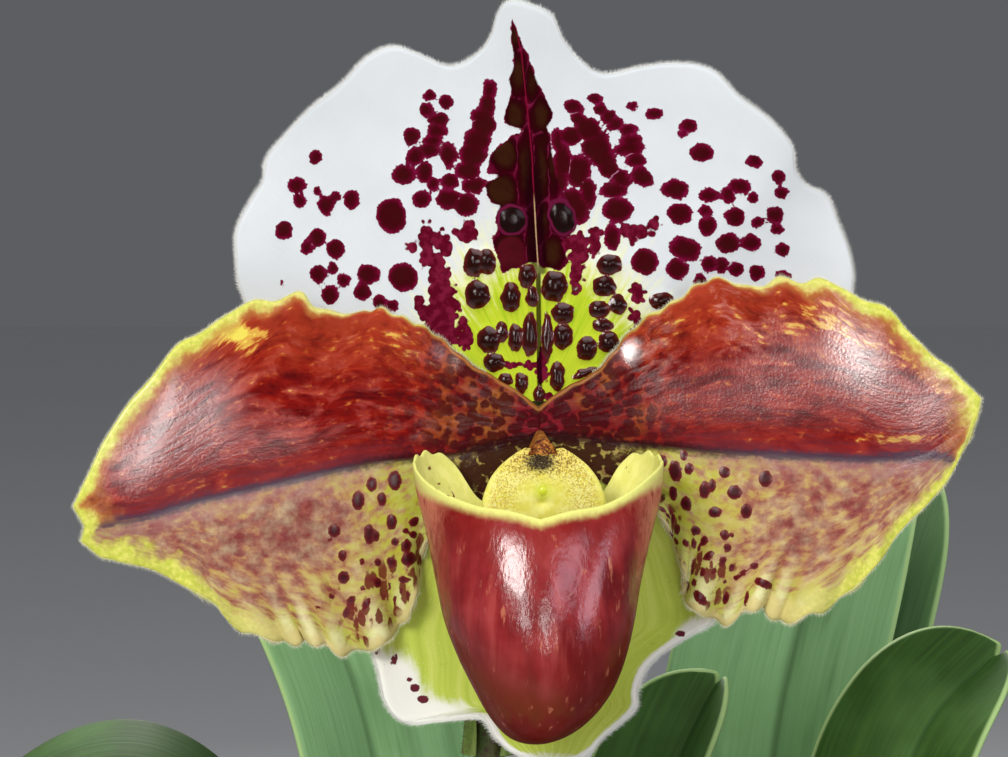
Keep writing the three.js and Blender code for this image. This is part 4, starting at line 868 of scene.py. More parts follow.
def petalPaint():
    paint = Paint("petal_tissue")
    place = paint.place()
    way = paint.vectorField("way")
    front = paint.field("face")
    u, v, edge = paint.field("u"), paint.field("v"), paint.field("edge")
    fibres = paint.grain(paint.stretched(way, 0.1, 1.0, 1), 1.5, 4, 0.6)
    mottles = paint.grain(paint.stretched(way, 0.36, 1.0, 1), 0.75, 4, 0.62, 0.5)
    flecks = paint.grain(place, 520, 4, 0.62)
    fine = paint.grain(place, 1500, 3)
    lumps = paint.cells(place, 1800)

    # upper half: mahogany, browner towards the margin, with yellow mottling along the veins
    blend = fibres * 0.45 + mottles * 0.55
    red = paint.ramp(blend, (0.36, (82, 6, 9)), (0.5, (122, 16, 10)), (0.64, (156, 38, 16)))
    dusk = paint.ease(v + (mottles - 0.5) * 0.8 + (flecks - 0.5) * 0.5, 0.45, 1.0)
    red = paint.mix(dusk * 0.7, red, (158, 58, 32))
    freckles = paint.grain(paint.stretched(way, 0.4, 1.0, 1), 1.7, 3, 0.55)
    warm = paint.field("warm") + (mottles - 0.5) * 1.0 + (freckles - 0.5) * 2.2
    red = paint.mix(paint.ease(warm, 0.2, 0.5) * 0.5, red, (180, 84, 36))
    upper = paint.mix(paint.ease(warm, 0.45, 0.75) * 0.85, red, (208, 164, 70))
    upper = paint.mix(paint.ease(warm, 0.9, 1.15), upper, (216, 200, 80))

    # lower half: yellow under wine-brown mottling, lime towards the flower's middle
    ground = paint.mix(paint.ease(u, 0.55, 0.25), (182, 160, 86), (172, 172, 44))
    ground = paint.mix(paint.ease(edge + (flecks - 0.5) * 9, 7, 2) * 0.8, ground, (184, 190, 84))
    grit = paint.grain(paint.stretched(way, 0.55, 1.0, 1), 0.95, 3, 0.55)
    cover = paint.field("wine") * 0.95 + (mottles - 0.5) * 1.0 + (grit - 0.5) * 2.6
    lower = paint.mix(paint.ease(cover, 0.0, 0.45) * 0.7, ground, (166, 112, 80))
    lower = paint.mix(paint.ease(cover, 0.35, 0.8) * 0.85, lower, (138, 64, 66))
    lower = paint.mix(paint.ease(cover, 0.75, 1.2) * 0.7, lower, (112, 38, 44))

    # folds of the lower margin: a painted highlight, cream, on their crests and a painted shade, red-brown,
    # in their hollows
    fold = paint.field("fold") + (flecks - 0.5) * 0.5
    lower = paint.mix(paint.ease(fold, -0.1, 0.4) * 0.8, lower, (230, 228, 176))
    lower = paint.mix(paint.ease(fold, -0.1, -0.6) * 0.3, lower, (142, 84, 52))
    dashes = paint.cells(paint.stretched(place, 1.0, 1.0, 0.45), 760)
    near = paint.ease(u, 0.52, 0.45) * paint.ease(v, -0.55, -0.62)
    dashed = paint.ease(dashes + (flecks - 0.5) * 0.9, 0.45, 0.36) * near
    lower = paint.mix(dashed * 0.9, lower, (104, 20, 28))

    # the foot: crowded dark spots over an amber and maroon net, darker below the midvein
    crowd = paint.cells(paint.stretched(place, 1, 1, 1.15), 720, randomness=0.9)
    toFoot = u + (flecks - 0.5) * 0.34
    dark = paint.ease(crowd + (fine - 0.5) * 0.6, 0.7, 0.5) * paint.ease(toFoot, 0.42, 0.16)
    net = paint.mix(paint.ease(paint.grain(place, 210, 3), 0.44, 0.6), (104, 20, 22), (144, 84, 38))
    net = paint.mix(paint.ease(u, 0.1, 0.04), net, (112, 20, 34))
    footTone = paint.mix(paint.ease(u, 0.32, 0.1) * 0.9, upper, net)
    heart = paint.ease(crowd, 0.3, 0.12) * paint.ease(cover, 0.3, 0.1) * 0.6
    upper = paint.mix(dark * 0.9, footTone, paint.mix(heart, (62, 6, 12), (46, 26, 12)))
    patch = paint.ease(crowd + (fine - 0.5) * 0.8, 0.8, 0.64) * paint.ease(toFoot, 0.24, 0.14)
    lower = paint.mix(paint.ease(u, 0.24, 0.12) * 0.75, lower, (140, 118, 66))
    lower = paint.mix(patch * 0.95, lower, (48, 10, 12))

    over = paint.field("over")
    colour = paint.mix(paint.ease(over + (fine - 0.5) * 0.5, -0.3, 0.3), lower, upper)

    # midvein: slate at the outer end, nearly black at the foot, in a mauve haze that is partly the tissue's
    # own colour and partly a painted sheen of reflected sky
    vein = over.maths("ABSOLUTE")
    hazeAndSheen = paint.ease(vein + (fibres - 0.5) * 5, 3.6, 0.3) * paint.ease(u, 0.14, 0.4)
    mauveAndSheen = paint.mix(paint.ease(over, -0.3, 0.3), (146, 98, 98), (116, 44, 52))
    colour = paint.mix(hazeAndSheen * 0.65, colour, mauveAndSheen)
    core = paint.ease(vein + (fine - 0.5) * 1.0 + (fibres - 0.5) * 1.2, 1.1, 0.2)
    core = core * paint.ease(edge, 0.6, 2.4)
    slate = paint.mix(paint.ease(u, 0.25, 0.5), (40, 8, 12), (62, 52, 68))
    colour = paint.mix(core * 0.85, colour, slate)

    # margin: yellow-green band, brown where it meets the red
    band = edge / paint.field("band") + (paint.grain(place, 240, 3) - 0.5) * 1.8 + (flecks - 0.5) * 2.0
    brown = paint.ease(band, 2.4, 0.9) * 0.8 * paint.ease(over, -0.5, 0.5)
    colour = paint.mix(brown, colour, (174, 116, 58))
    rim = paint.mix(paint.ease(fine, 0.35, 0.7), (188, 194, 74), (216, 214, 104))
    rim = paint.mix(paint.ease(u, 0.34, 0.2) * paint.ease(v, 0, 0.1), rim, (118, 72, 30))
    rim = paint.mix(paint.field("cream"), rim, (206, 190, 132))
    colour = paint.mix(paint.ease(band, 1.35, 0.4), colour, rim)

    # single glossy spots on the lower half
    spot = paint.field("spot") + (fine - 0.5) * 0.25 - (lumps - 0.35) * 0.12
    onSpot = paint.ease(spot, -0.05, 0.05)
    maroon = paint.ramp(paint.ease(spot, 0, 0.6), (0, (104, 26, 28)), (0.5, (76, 12, 18)),
                        (1, (60, 10, 16)))
    colour = paint.mix(onSpot, colour, maroon)
    back = paint.mix(0.45, colour, (176, 150, 84))
    colour = paint.mix(front, back, colour)

    # wet-looking and pebbled where the gloss lies
    gloss = (paint.field("gloss") + (mottles - 0.5) * 0.5).least(1).most(0)
    rough = (1 - paint.cells(place, 2600)) * 0.6 + paint.grain(place, 1300, 3)
    pebbles = paint.bump(rough * (1 - onSpot), 0.06, 0.32)
    fibrous = paint.bump(paint.cells(place, 2100), 0.03, 0.5)
    return paint.finish({
        "Base Color": colour, "Roughness": 0.6, "Normal": paint.bump(fibres, 0.1, 0.4, fibrous),
        "Specular IOR Level": 0.03,
    }, (gloss + onSpot * 0.12).least(1) * front,
        {"Roughness": 0.25, "Specular IOR Level": 0.9, "IOR": 1.85,
         "Normal": paint.bump(fibres * (1 - onSpot), 0.09, 0.3, pebbles)})


def makePetal(name, finish):
    form = petalShape
    u, across = shares(form)
    v = across * 2 - 1
    out = np.abs(v)
    top, middleLine, bottom = (curveThrough(petals[name][key])(u) for key in ("upper", "midrib", "lower"))
    edgeLine = np.where((v > 0)[..., None], top, bottom)
    # small uneven lobes along the margin
    lobes = 0.016 * np.sin(47 * u + 3 * np.sin(9 * u)) + 0.01 * np.sin(103 * u + v)
    folds = np.sin(34 * np.pi * u + 2 * np.sin(7 * np.pi * u))
    folded = np.where(v < 0, ease(u, 0.28, 0.42) * (1 - 0.9 * ease(u, 0.56, 0.66)), 0)
    folded = folded * (0.7 + 0.3 * np.sin(21 * u + 1))
    uneven = lobes * ease(u, 0.05, 0.2) * (1 - ease(u, 0.93, 1)) + 0.03 * folds * folded
    reach = out * (1 + uneven * out ** 5)
    plane = mix(middleLine, edgeLine, reach[..., None])
    breadth = np.linalg.norm(edgeLine - middleLine, axis=-1)
    lift = np.sin(np.pi * u) ** 1.5
    pleats = ease(u, 0.08, 0.22) * (1 - ease(u, 0.72, 0.92))
    ruffle = np.where(v > 0, form["ruffle"][0] * np.sin(9 * np.pi * u + 1),
                      form["ruffle"][1] * np.sin(17 * np.pi * u + 0.8))
    groove = form["groove"] * np.exp(-(v / 0.1) ** 2) * (1 - u)
    bow = np.where(v > 0, *form["bow"])
    y = form["set"] - form["reach"] * u ** 1.4 + bow * lift * out ** 2 + groove * lift
    y += ruffle * pleats * out ** 3
    y -= form["crimp"] * folds * folded * out ** 3.5
    middle = np.stack([plane[..., 0], y, plane[..., 1]], -1)
    half = mix(*form["thick"], v ** 2) / 2

    x, z = middle[..., 0], middle[..., 2]
    spot = ovalDepth(x, z, petals[name]["spots"])[0]
    relief = form["spotRise"] * ease(spot, -0.15, 0.25) * (np.abs(v) < 0.97)
    along = gridLength(middle, 0)
    # the midvein as drawn runs straight on to the tip
    line = np.array(petals[name]["midrib"][:-1] + [form[name]["veinEnd"]], float)
    line = line[np.argsort(line[:, 0])]
    over = z - np.interp(x, line[:, 0], line[:, 1])
    # band of the margin in millimetres: wide round the tip and under it, thin above
    topBand = 0.35 + 1.9 * ease(u, 0.5, 0.8) - 0.7 * ease(u, 0.9, 1)
    lowBand = 1.4 + 2.6 * ease(u, 0.45, 0.7) - 2.4 * ease(u, 0.84, 0.97)
    lowBand = lowBand * mix(0.12, 1, ease(u, 0.14, 0.3))
    patches = form[name]
    fields = {
        # fold carries the folds' phase for their painted highlight and painted shade
        "spot": spot, "u": u, "v": v, "over": over, "fold": folds * folded * out ** 6,
        "gloss": clouds(x, z, patches["gloss"]),
        "way": np.stack([along, v * mix(16, breadth, ease(u, 0.6, 0.92)), np.where(v > 0, 7.0, 0.0)], -1),
        "warm": clouds(x, z, patches["yellow"]), "wine": clouds(x, z, patches["wine"]),
        "band": np.where(v > 0, topBand, lowBand),
        "cream": np.where(v > 0, 0.5 * ease(u, 0.25, 0.4), 0.9) * (1 - ease(u, 0.55, 0.8)),
    }
    side = 1 if name == "petal_right" else -1
    piece = makeSheet(name + "_skin", middle, half, finish, side, relief, fields, fromBloom)
    settle(piece, "petal", name)
    return marginRoots(name + "_hairs", middle, fromBloom, 26)


# Lower sepal: lime green, white at its corners.
synsepal = {
    "rows": 110, "columns": 90, "thick": (1.2, 0.8),
    "set": 2.1, "hollow": 3.4, "reach": 7, "bow": 2.4, "wave": 0.7,
    "left": [[-4.5, -2], [-9.5, -6], [-14, -11], [-17.5, -16], [-20, -22], [-22.5, -28.5], [-21.5, -33],
        [-20.5, -37], [-18, -39.5], [-13.5, -39], [-8, -38.5], [-6, -41], [-3.5, -43], [-0.5, -44]],
    "right": [[4, -2], [8, -5], [13.5, -9], [19, -13.5], [22, -19.5], [23.5, -25.5], [20, -28],
        [15, -31.5], [13, -35], [12.5, -37.5], [8.5, -41], [6, -43.5], [2.5, -44.5]],
    "spots": [[-21.7, -30.1, 0.46, 0.66], [-19.4, -31.4, 0.4, 0.9, -10], [-17.4, -34, 0.42, 0.36],
        [-16.7, -35.1, 0.66, 0.56], [-15.6, -36.6, 0.76, 0.56], [18.8, -28, 0.66, 0.33],
        [25.8, -37.1, 0.2], [15.2, -13, 0.26, 0.33], [-20.6, -32.1, 0.2, 0.26]],
    # white clouds: [x, z, reach across, reach up, strength, turn]
    "pale": [[-20, -35, 4.5, 5, 1.1, 0], [-13, -39.5, 6, 3, 0.9, 0], [17, -30.5, 5, 1.6, 0.8, 35],
        [22, -27, 4, 2, 0.7, 0], [0, -44.5, 8, 1.6, 0.7, 0]],
}


def synsepalPaint():
    paint = Paint("synsepal_tissue")
    place = paint.place()
    way = paint.vectorField("way")
    veins = paint.grain(paint.stretched(way, 0.05, 1, 1), 0.9, 3)
    fine = paint.grain(place, 1300, 3)
    colour = paint.ramp(veins, (0.28, (172, 190, 66)), (0.5, (188, 204, 78)), (0.74, (204, 214, 104)))
    speck = paint.ease(paint.cells(place, 1500), 0.16, 0.08)
    colour = paint.mix(speck * 0.4, colour, (226, 230, 160))
    colour = paint.mix(paint.ease(fine, 0.62, 0.75) * 0.3, colour, (128, 158, 56))
    pale = paint.field("pale") + (veins - 0.5) * 0.5 + (fine - 0.5) * 0.25
    colour = paint.mix(paint.ease(pale, 0.3, 0.7), colour, (236, 236, 226))
    spot = paint.ease(paint.field("spot") + (fine - 0.5) * 0.4, -0.05, 0.06)
    colour = paint.mix(spot, colour, (92, 18, 34))
    bumps = paint.bump(veins, 0.1, 0.4, paint.bump(paint.cells(place, 2800), 0.03, 0.4))
    return paint.finish({
        "Base Color": colour, "Roughness": 0.5, "Normal": bumps, "Specular IOR Level": 0.25,
    })


def makeSynsepal():
    down, across = shares(synsepal)
    s = across * 2 - 1
    left, right = curveThrough(synsepal["left"])(down), curveThrough(synsepal["right"])(down)
    plane = mix(left, right, across[..., None])
    hollow = synsepal["hollow"] * np.sin(np.pi * down) ** 1.5
    wave = synsepal["wave"] * np.abs(s) ** 3 * np.sin(7 * np.pi * down + (s > 0))
    bow = synsepal["bow"] * s * s * np.sin(np.pi * down)
    y = synsepal["set"] + hollow - synsepal["reach"] * down ** 2.4 - bow + wave
    middle = np.stack([plane[..., 0], y, plane[..., 1]], -1)
    half = mix(*synsepal["thick"], s * s) / 2
    x, z = middle[..., 0], middle[..., 2]
    width = np.linalg.norm(right - left, axis=-1)
    edge = np.minimum(1 - np.abs(s), 1) * width / 2
    pale = clouds(x, z, synsepal["pale"])
    pale += 0.8 * np.exp(-(edge / 0.9) ** 2) * ease(-z, 18, 26)
    fields = {
        "spot": ovalDepth(x, z, synsepal["spots"])[0], "pale": pale,
        "way": np.stack([gridLength(middle, 0), s * 20, 0 * s], -1),
    }
    piece = makeSheet("synsepal_skin", middle, half, synsepalPaint(), 1, None, fields, fromBloom)
    settle(piece, "synsepal", "synsepal")
    return marginRoots("synsepal_hairs", middle, fromBloom, 30)


# Pouch: read by depth, the lists run from the brim's highest point down to the toe.
pouch = {
    "around": 200, "down": 110, "rimRings": 7, "wall": 1.2, "top": -2.5, "toe": -39.5,
    "halfWidth": [16.3, 15.6, 14.2, 13, 12, 10.6, 8.9, 7, 4.9, 2.6, 0],
    "shift": [-0.5, -0.3, -0.3, -0.4, -0.3, 0, 0.2, 0, -0.4, -0.8, -0.9],
    "front": [-24, -26.5, -28.5, -30, -30.8, -31, -30.5, -29, -27, -24.2, -20.5],
    "back": [2.2, -0.7, -2.2, -3.6, -5, -6.6, -8.6, -11, -13.6, -16.6, -20.5],
    # brim height from the front middle round to the back, every 15 degrees
    "brim": [-11.4, -10.4, -9.9, -8.7, -7.2, -5.9, -4.8, -4.2, -4, -5.2, -10.3, -9.6, -4.4],
    # dark specks on the lobes, as ovals
    "specks": [[-14.4, -5.6, 0.2, 0.3], [-13.2, -7.6, 0.22], [-11.9, -7.3, 0.2],
        [-11.8, -8.3, 0.15, 0.22], [-11.4, -8.7, 0.15, 0.22], [-11.3, -9.3, 0.2], [9.6, -6.0, 0.2, 0.3],
        [11.2, -5.6, 0.25, 0.32], [11.4, -6.1, 0.15, 0.2]],
}


def pouchPaint():
    paint = Paint("pouch_skin")
    place = paint.place()
    rim, inner, flank = paint.field("rim"), paint.field("inner"), paint.field("flank")
    fine = paint.grain(place, 1100, 3)
    cloud = paint.grain(place, 120, 3)
    tall = paint.grain(paint.stretched(place, 1, 1, 0.3), 900, 3, 0.6)
    colour = paint.ramp(cloud, (0.36, (108, 16, 18)), (0.5, (136, 32, 34)), (0.64, (156, 52, 54)))
    strokes = paint.grain(paint.stretched(place, 1, 1, 0.16), 420, 3)
    colour = paint.mix(paint.ease(strokes, 0.48, 0.7) * 0.6, colour, (98, 14, 20))
    colour = paint.mix(paint.ease(strokes, 0.5, 0.34) * 0.45, colour, (174, 74, 70))
    colour = paint.mix(paint.ease(rim + (fine - 0.5) * 6, 9, 2) * 0.6, colour, (118, 24, 18))
    # darker and browner by the toe, with olive patches and pale upright flecks
    colour = paint.mix(paint.ease(rim, 13, 25) * 0.85, colour, paint.mix(cloud, (70, 6, 10), (112, 28, 14)))
    olive = paint.ease(cloud + (strokes - 0.5) * 0.6, 0.46, 0.66) * paint.ease(rim, 17, 26)
    colour = paint.mix(olive * 0.5, colour, (100, 50, 16))
    fleck = paint.ease(tall, 0.6, 0.72) * paint.ease(paint.grain(place, 300, 2), 0.4, 0.58)
    colour = paint.mix(fleck * 0.55, colour, (204, 124, 90))
    # tan flanks below the lobes, speckled with red
    tan = paint.ease(flank * 15 - rim + (fine - 0.5) * 7 + (tall - 0.5) * 9, 0.5, 9)
    colour = paint.mix(tan * 0.7, colour, (206, 130, 100))
    dots = paint.ease(tall, 0.54, 0.66) * paint.ease(tan, 0.1, 0.5)
    colour = paint.mix(dots * 0.75, colour, (122, 24, 30))
    # yellow-green rim
    band = rim - paint.field("rimWidth") + (fine - 0.5) * 0.7 + (tall - 0.5) * 0.5
    edgeTone = paint.mix(paint.ease(rim, 0.2, 1.4), (214, 214, 118), (204, 190, 112))
    colour = paint.mix(paint.ease(band, 0.9, -0.6), colour, edgeTone)
    # inside, pale yellow with fine green veins
    within = paint.mix(paint.ease(tall, 0.4, 0.65), (222, 220, 118), (232, 228, 134))
    within = paint.mix(paint.ease(rim, 6, 18), within, (168, 120, 70))
    colour = paint.mix(inner, colour, within)
    speck = paint.ease(paint.field("speck") + (fine - 0.5) * 0.3, -0.04, 0.06)
    colour = paint.mix(speck * 0.9, colour, (108, 22, 22))
    glossy = paint.ease(band, 1.2, 4.2) * (1 - inner) * 0.95 * (0.04 + paint.ease(rim, 24, 14) * 0.96)
    wrinkles = paint.grain(paint.stretched(place, 1, 1, 0.4), 1300, 3)
    bumps = paint.bump(paint.grain(place, 210, 3), 0.3, 0.3, paint.bump(wrinkles, 0.1, 0.6))
    return paint.finish({
        "Base Color": colour, "Roughness": 0.55, "Normal": bumps, "Specular IOR Level": 0.05,
    }, glossy + 0.04, {"Roughness": 0.19, "Specular IOR Level": 0.6})


def makePouch():
    form = {key: curveThrough(pouch[key]) for key in ("halfWidth", "shift", "front", "back", "brim")}
    drop = pouch["toe"] - pouch["top"]

    def wall(angle, down):
        turn = np.abs(angle)
        brim = form["brim"](turn / np.pi) + 0.3 * np.sin(26 * turn) * np.exp(-((turn - 1.95) / 0.4) ** 2)
        brim = brim + 0.6 * np.sin(angle) * np.exp(-((turn - 1.05) / 0.4) ** 2)
        start = (2 / np.pi) * np.arcsin(np.clip((brim - pouch["top"]) / drop, 0, 1))
        t = mix(start, 1.0, down)
        middle = (form["front"](t) + form["back"](t)) / 2
        reach = (form["back"](t) - form["front"](t)) / 2
        return np.stack([form["shift"](t) + form["halfWidth"](t) * np.sin(angle),
                         middle - reach * np.cos(angle), pouch["top"] + drop * np.sin(np.pi / 2 * t)], -1)

    sides = pouch["around"]
    angles = 2 * np.pi * np.arange(sides) / sides - np.pi
    down, angle = np.meshgrid(stops(pouch["down"])[:-1] * 0.985, angles, indexing="ij")
    outer = wall(angle, down)
    turned = wall(angle + 0.02, down) - wall(angle - 0.02, down)
    fall = wall(angle, np.minimum(down + 0.01, 1)) - wall(angle, np.maximum(down - 0.01, 0))
    # the wall thins towards the brim, most of all on the two lobes
    lobed = ease(np.abs(angle), 0.7, 1.3)
    thin = mix(mix(0.75, 0.4, lobed), 1, ease(down, 0, 0.2))[..., None]
    inner = outer + unit(np.cross(turned, fall)) * pouch["wall"] * thin
    toe = wall(np.array([0.0]), np.array([1.0]))
    # the rim is rounded over from the inner wall to the outer one
    centre, across = (outer[0] + inner[0]) / 2, (outer[0] - inner[0]) / 2
    up = -unit(fall[0])
    sweep = np.linspace(np.pi, 0, pouch["rimRings"] + 2)[1:-1]
    lip = np.array([centre + across * math.cos(a) + up * 0.4 * math.sin(a) for a in sweep])
    rings = np.concatenate([inner[::-1], lip, outer])
    count = len(rings)
    points = np.concatenate([rings.reshape(-1, 3), toe + (0, 0, pouch["wall"]), toe])
    faces = ringFaces(count, sides, True)
    depth = gridLength(outer, 0)
    lipDepth = np.zeros((len(lip), sides))
    rim = np.concatenate([depth[::-1], lipDepth, depth]).ravel()
    isInner = np.concatenate([np.ones(inner.shape[:2]), lipDepth, np.zeros(outer.shape[:2])])
    turn = np.tile(np.abs(angles), count)
    x, z = rings[..., 0].ravel(), rings[..., 2].ravel()
    flank = np.exp(-((turn - 1.4) / 0.5) ** 2)
    fields = {
        "rim": np.append(rim, [37, 38]), "inner": np.append(isInner.ravel(), [1, 0]),
        "flank": np.append(flank, [0, 0]), "rimWidth": np.append(0.55 + 1.6 * flank ** 1.6, [0, 0]),
        "speck": np.append(ovalDepth(x, z, pouch["specks"])[0], [farOutside] * 2),
    }
    piece = makeMesh("pouch_skin", fromBloom(points), faces, pouchPaint(), fields)
    settle(piece, "pouch", "labellum")


# Column: the shield over the pouch's mouth on its hairy neck.
column = {
    "shield": {"rows": 76, "columns": 76, "y": -12.4, "top": -3.1, "bottom": -13.6, "dome": 1.3,
        "thick": 1.4, "middle": 0.35},
    "widths": [2.6, 4.3, 5.6, 6.5, 7.1, 7.5, 7.8, 7.8, 7.2, 5.6, 2.6],
    "neck": [(0, -0.15, -3.3), (0, -4, -3.4), (0.1, -8.5, -4.6), (0.2, -12.4, -6.4)],
    "girth": [1.5, 1.55, 2.1, 3.1],
    "boss": (0.2, -13.9, -8.2), "bossSize": (0.75, 0.6, 0.85),
    "lumps": [((-2.8, -7.6, -5.6), (1.7, 1.9, 1.6)), ((3, -7.6, -5.6), (1.7, 1.9, 1.6)),
        ((0.1, -8, -7.4), (3, 2.6, 2.6))],
}


def columnPaint():
    paint = Paint("column_tissue")
    place = paint.place()
    fine = paint.grain(place, 3800, 2)
    coarse = paint.grain(place, 700, 3)
    colour = paint.mix(paint.ease(coarse, 0.35, 0.65), (226, 220, 96), (238, 234, 134))
    rough = paint.field("plush")
    colour = paint.mix(paint.ease(fine, 0.48, 0.62) * rough * 0.7, colour, (196, 160, 66))
    colour = paint.mix(paint.ease(fine, 0.42, 0.34) * rough * 0.6, colour, (250, 246, 206))
    colour = paint.mix(paint.field("boss"), colour, (206, 220, 40))
    dust = paint.field("dust")
    colour = paint.mix(dust * 0.75, colour, (208, 178, 70))
    colour = paint.mix(dust * paint.ease(fine, 0.48, 0.6), colour, (112, 66, 34))
    umber = paint.ease(paint.field("umber") + (fine - 0.5) * 1.2, 0.3, 0.75)
    rust = paint.mix(paint.ease(paint.grain(place, 1300, 3), 0.4, 0.6), (112, 48, 22), (186, 122, 44))
    colour = paint.mix(umber, colour, rust)
    pepper = paint.ease(paint.cells(place, 2600), 0.5, 0.3) * umber
    colour = paint.mix(pepper * 0.85, colour, (50, 16, 14))
    dusk = paint.field("dusk") + (fine - 0.5) * 0.9
    colour = paint.mix(paint.ease(dusk, 0.3, 1.0) * 0.94, colour, (38, 14, 16))
    bumps = paint.bump(fine * rough, 0.12, 0.7, paint.bump(coarse, 0.1, 0.3))
    return paint.finish({
        "Base Color": colour, "Roughness": 0.62, "Normal": bumps, "Specular IOR Level": 0.15,
        "Coat Weight": paint.field("boss") * 0.8,
        "Coat Roughness": 0.15,
    })


def columnFields(x, y, z, plush, umber=0.0):
    front = ease(-y, 10.5, 12)
    return {"plush": plush, "dusk": 1.2 * np.exp(-((x + 0.1) / 2.1) ** 2 - ((z + 4.7) / 1.5) ** 2) * front,
            "dust": np.exp(-((x - 0.2) / 5.5) ** 2 - ((z + 4.2) / 2.2) ** 2) * front,
            "umber": umber * ease(z, -6, -3.6) * 1.2,
            "boss": np.exp(-((x - 0.2) ** 2 + (z + 8.2) ** 2) / 0.9) * (y < -12)}


def joined(name, pieces):
    bpy.ops.object.select_all(action="DESELECT")
    for piece in pieces:
        piece.select_set(True)
    bpy.context.view_layer.objects.active = pieces[0]
    bpy.ops.object.join()
    whole = bpy.context.view_layer.objects.active
    whole.select_set(False)
    whole.name = whole.data.name = name
    return whole


def ovalBall(centre, size, rings=18, sides=28):
    theta = np.linspace(0, np.pi, rings + 2)[1:-1]
    phi = 2 * np.pi * np.arange(sides) / sides
    t, p = np.meshgrid(theta, phi, indexing="ij")
    ball = np.stack([np.sin(t) * np.cos(p), np.sin(t) * np.sin(p), np.cos(t)], -1)
    points = np.concatenate([ball.reshape(-1, 3), [(0, 0, 1)], [(0, 0, -1)]])
    points = points * np.array(size) + np.array(centre)
    return points, ringFaces(rings, sides, True)


def makeColumn():
    shield = column["shield"]
    finish = columnPaint()
    down, across = shares(shield)
    s = across * 2 - 1
    notch = 0.9 * np.exp(-(s / 0.3) ** 2) * (1 - ease(down, 0, 0.35))
    bulge = shield["dome"] * (1 - s * s) * np.sin(np.pi * mix(0.15, 1, down))
    width = curveThrough(column["widths"])(down)
    z = mix(shield["top"], shield["bottom"], down) - notch
    x = shield["middle"] + width * s
    dimple = 0.35 * np.exp(-(((x - 0.2) / 0.9) ** 2 + ((z + 9.6) / 0.7) ** 2))
    y = shield["y"] - bulge + dimple
    middle = np.stack([x, y, z], -1)
    edge = np.minimum((1 - np.abs(s)) * width, down * 10.5)
    plush = ease(edge, 0.5, 1.3) * ease(np.hypot(x - 0.2, (z + 9.4) * 0.8), 1.6, 4.8)
    fields = columnFields(x, y, z, plush)
    half = np.full(x.shape, shield["thick"] / 2)
    plate = makeSheet("shield", middle, half, finish, 1, None, fields, fromBloom, 0.7)
    parts = [plate]
    for lump in column["lumps"] + [(column["boss"], column["bossSize"])]:
        points, faces = ovalBall(*lump)
        x, y, z = points.T
        marks = columnFields(x, y, z, 0.5 + 0 * x, y < -8)
        parts.append(makeMesh("lump", fromBloom(points), faces, finish, marks))
    # the neck, drawn up to a ridge on top
    line = curveThrough(column["neck"])(np.linspace(0, 1, 40))
    girth = curveThrough(column["girth"])

    def ridged(t, angle):
        return float(girth(t)) * (1 + 0.72 * np.maximum(0, -np.sin(angle)) ** 9)
    grid = tubeGrid(line, ridged, 40).reshape(-1, 3)
    x, y, z = np.concatenate([grid, line[:1], line[-1:]]).T
    marks = columnFields(x, y, z, 0.6 + 0 * x, 1)
    parts.append(makeTube("neck", line, ridged, 40, finish, marks, fromBloom))
    settle(joined("column_tissue", parts), "column", "column")

    # roots for the dark tuft at the top of the shield and the short gold plush over it
    def skin(name, share):
        roots = makeSheet(name, middle, half, finish, 1, None, {"hairy": share}, fromBloom, 0.7)
        share = np.concatenate([share.ravel(), 0 * share.ravel()]).astype(np.float32)
        roots.data.attributes["hairy"].data.foreach_set("value", share)
        return roots
    tuft = 0.7 * ease(fields["dusk"], 0.3, 0.95)
    front = ease(plush, 0.3, 0.9)
    return skin("column_tuft", tuft), skin("column_plush", front)


# Leaves: folded round their growth at the foot, keeled straps above.
# growths: x, y and the radius of the hollow in the bark round each
crowns = [(-12, 4, 18.2), (30, 18, 13.6), (38, -15, 13.6)]
leafForm = {"rows": 84, "columns": 36, "thick": (1.5, 1.0), "foot": 90, "bend": 1.15}
leaves = {
    # name: crown, nest, azimuth, half width, fold, roll, pale, spine of [height, distance from the axis]
    # pale is partly each leaf's own tone and partly painted light and shade: lit leaves are painted paler,
    # shaded ones darker
    "leaf_left_tall": (0, 1, 138, 21, 24, 0, 1,
                       [[150, 9.5], [205, 13], [243, 19], [268, 33], [284, 52]]),
    "leaf_left_arching": (0, 2, 184, 18, 20, 0, 0,
                          [[140, 14.5], [192, 23.5], [228, 32], [242, 47], [237, 66], [215, 86]]),
    "leaf_left_low": (0, 3, 222, 19, 20, 0, 0.05,
                      [[130, 17], [166, 32], [188, 58], [176, 88], [140, 106]]),
    "leaf_right_young": (0, 0, 6, 14, 36, 35, 0.1,
                         [[146, 10], [190, 20], [220, 28], [241, 34], [256, 41]]),
    "leaf_front_low": (0, 4, 285, 18, 20, 0, 0.3,
                       [[124, 19], [152, 34], [166, 56], [156, 80], [130, 98]]),
    "leaf_right_tall": (1, 0, 50, 21, 22, 0, 1,
                        [[150, 7.6], [205, 10], [243, 15], [270, 27], [289, 42]]),
    "leaf_right_upright": (1, 1, 46, 18, 24, 0, 0.45,
                           [[145, 11], [198, 19], [236, 28], [262, 38], [283, 50]]),
    "leaf_back": (1, 2, 128, 19, 22, 0, 0.4, [[132, 13], [170, 23], [198, 40], [208, 66], [198, 94]]),
    "leaf_right_spreading": (2, 0, 4, 15, 26, 35, 0.05,
                             [[150, 8], [200, 9.5], [232, 12.5], [252, 19], [264, 30]]),
    "leaf_right_arching": (2, 1, 332, 18, 22, 0, 0.6,
                           [[146, 13], [196, 20], [231, 34], [248, 57], [242, 84]]),
    "leaf_right_low": (2, 2, 296, 17, 20, 0, 0.3,
                       [[126, 15], [150, 28], [160, 50], [150, 74], [122, 92]]),
}


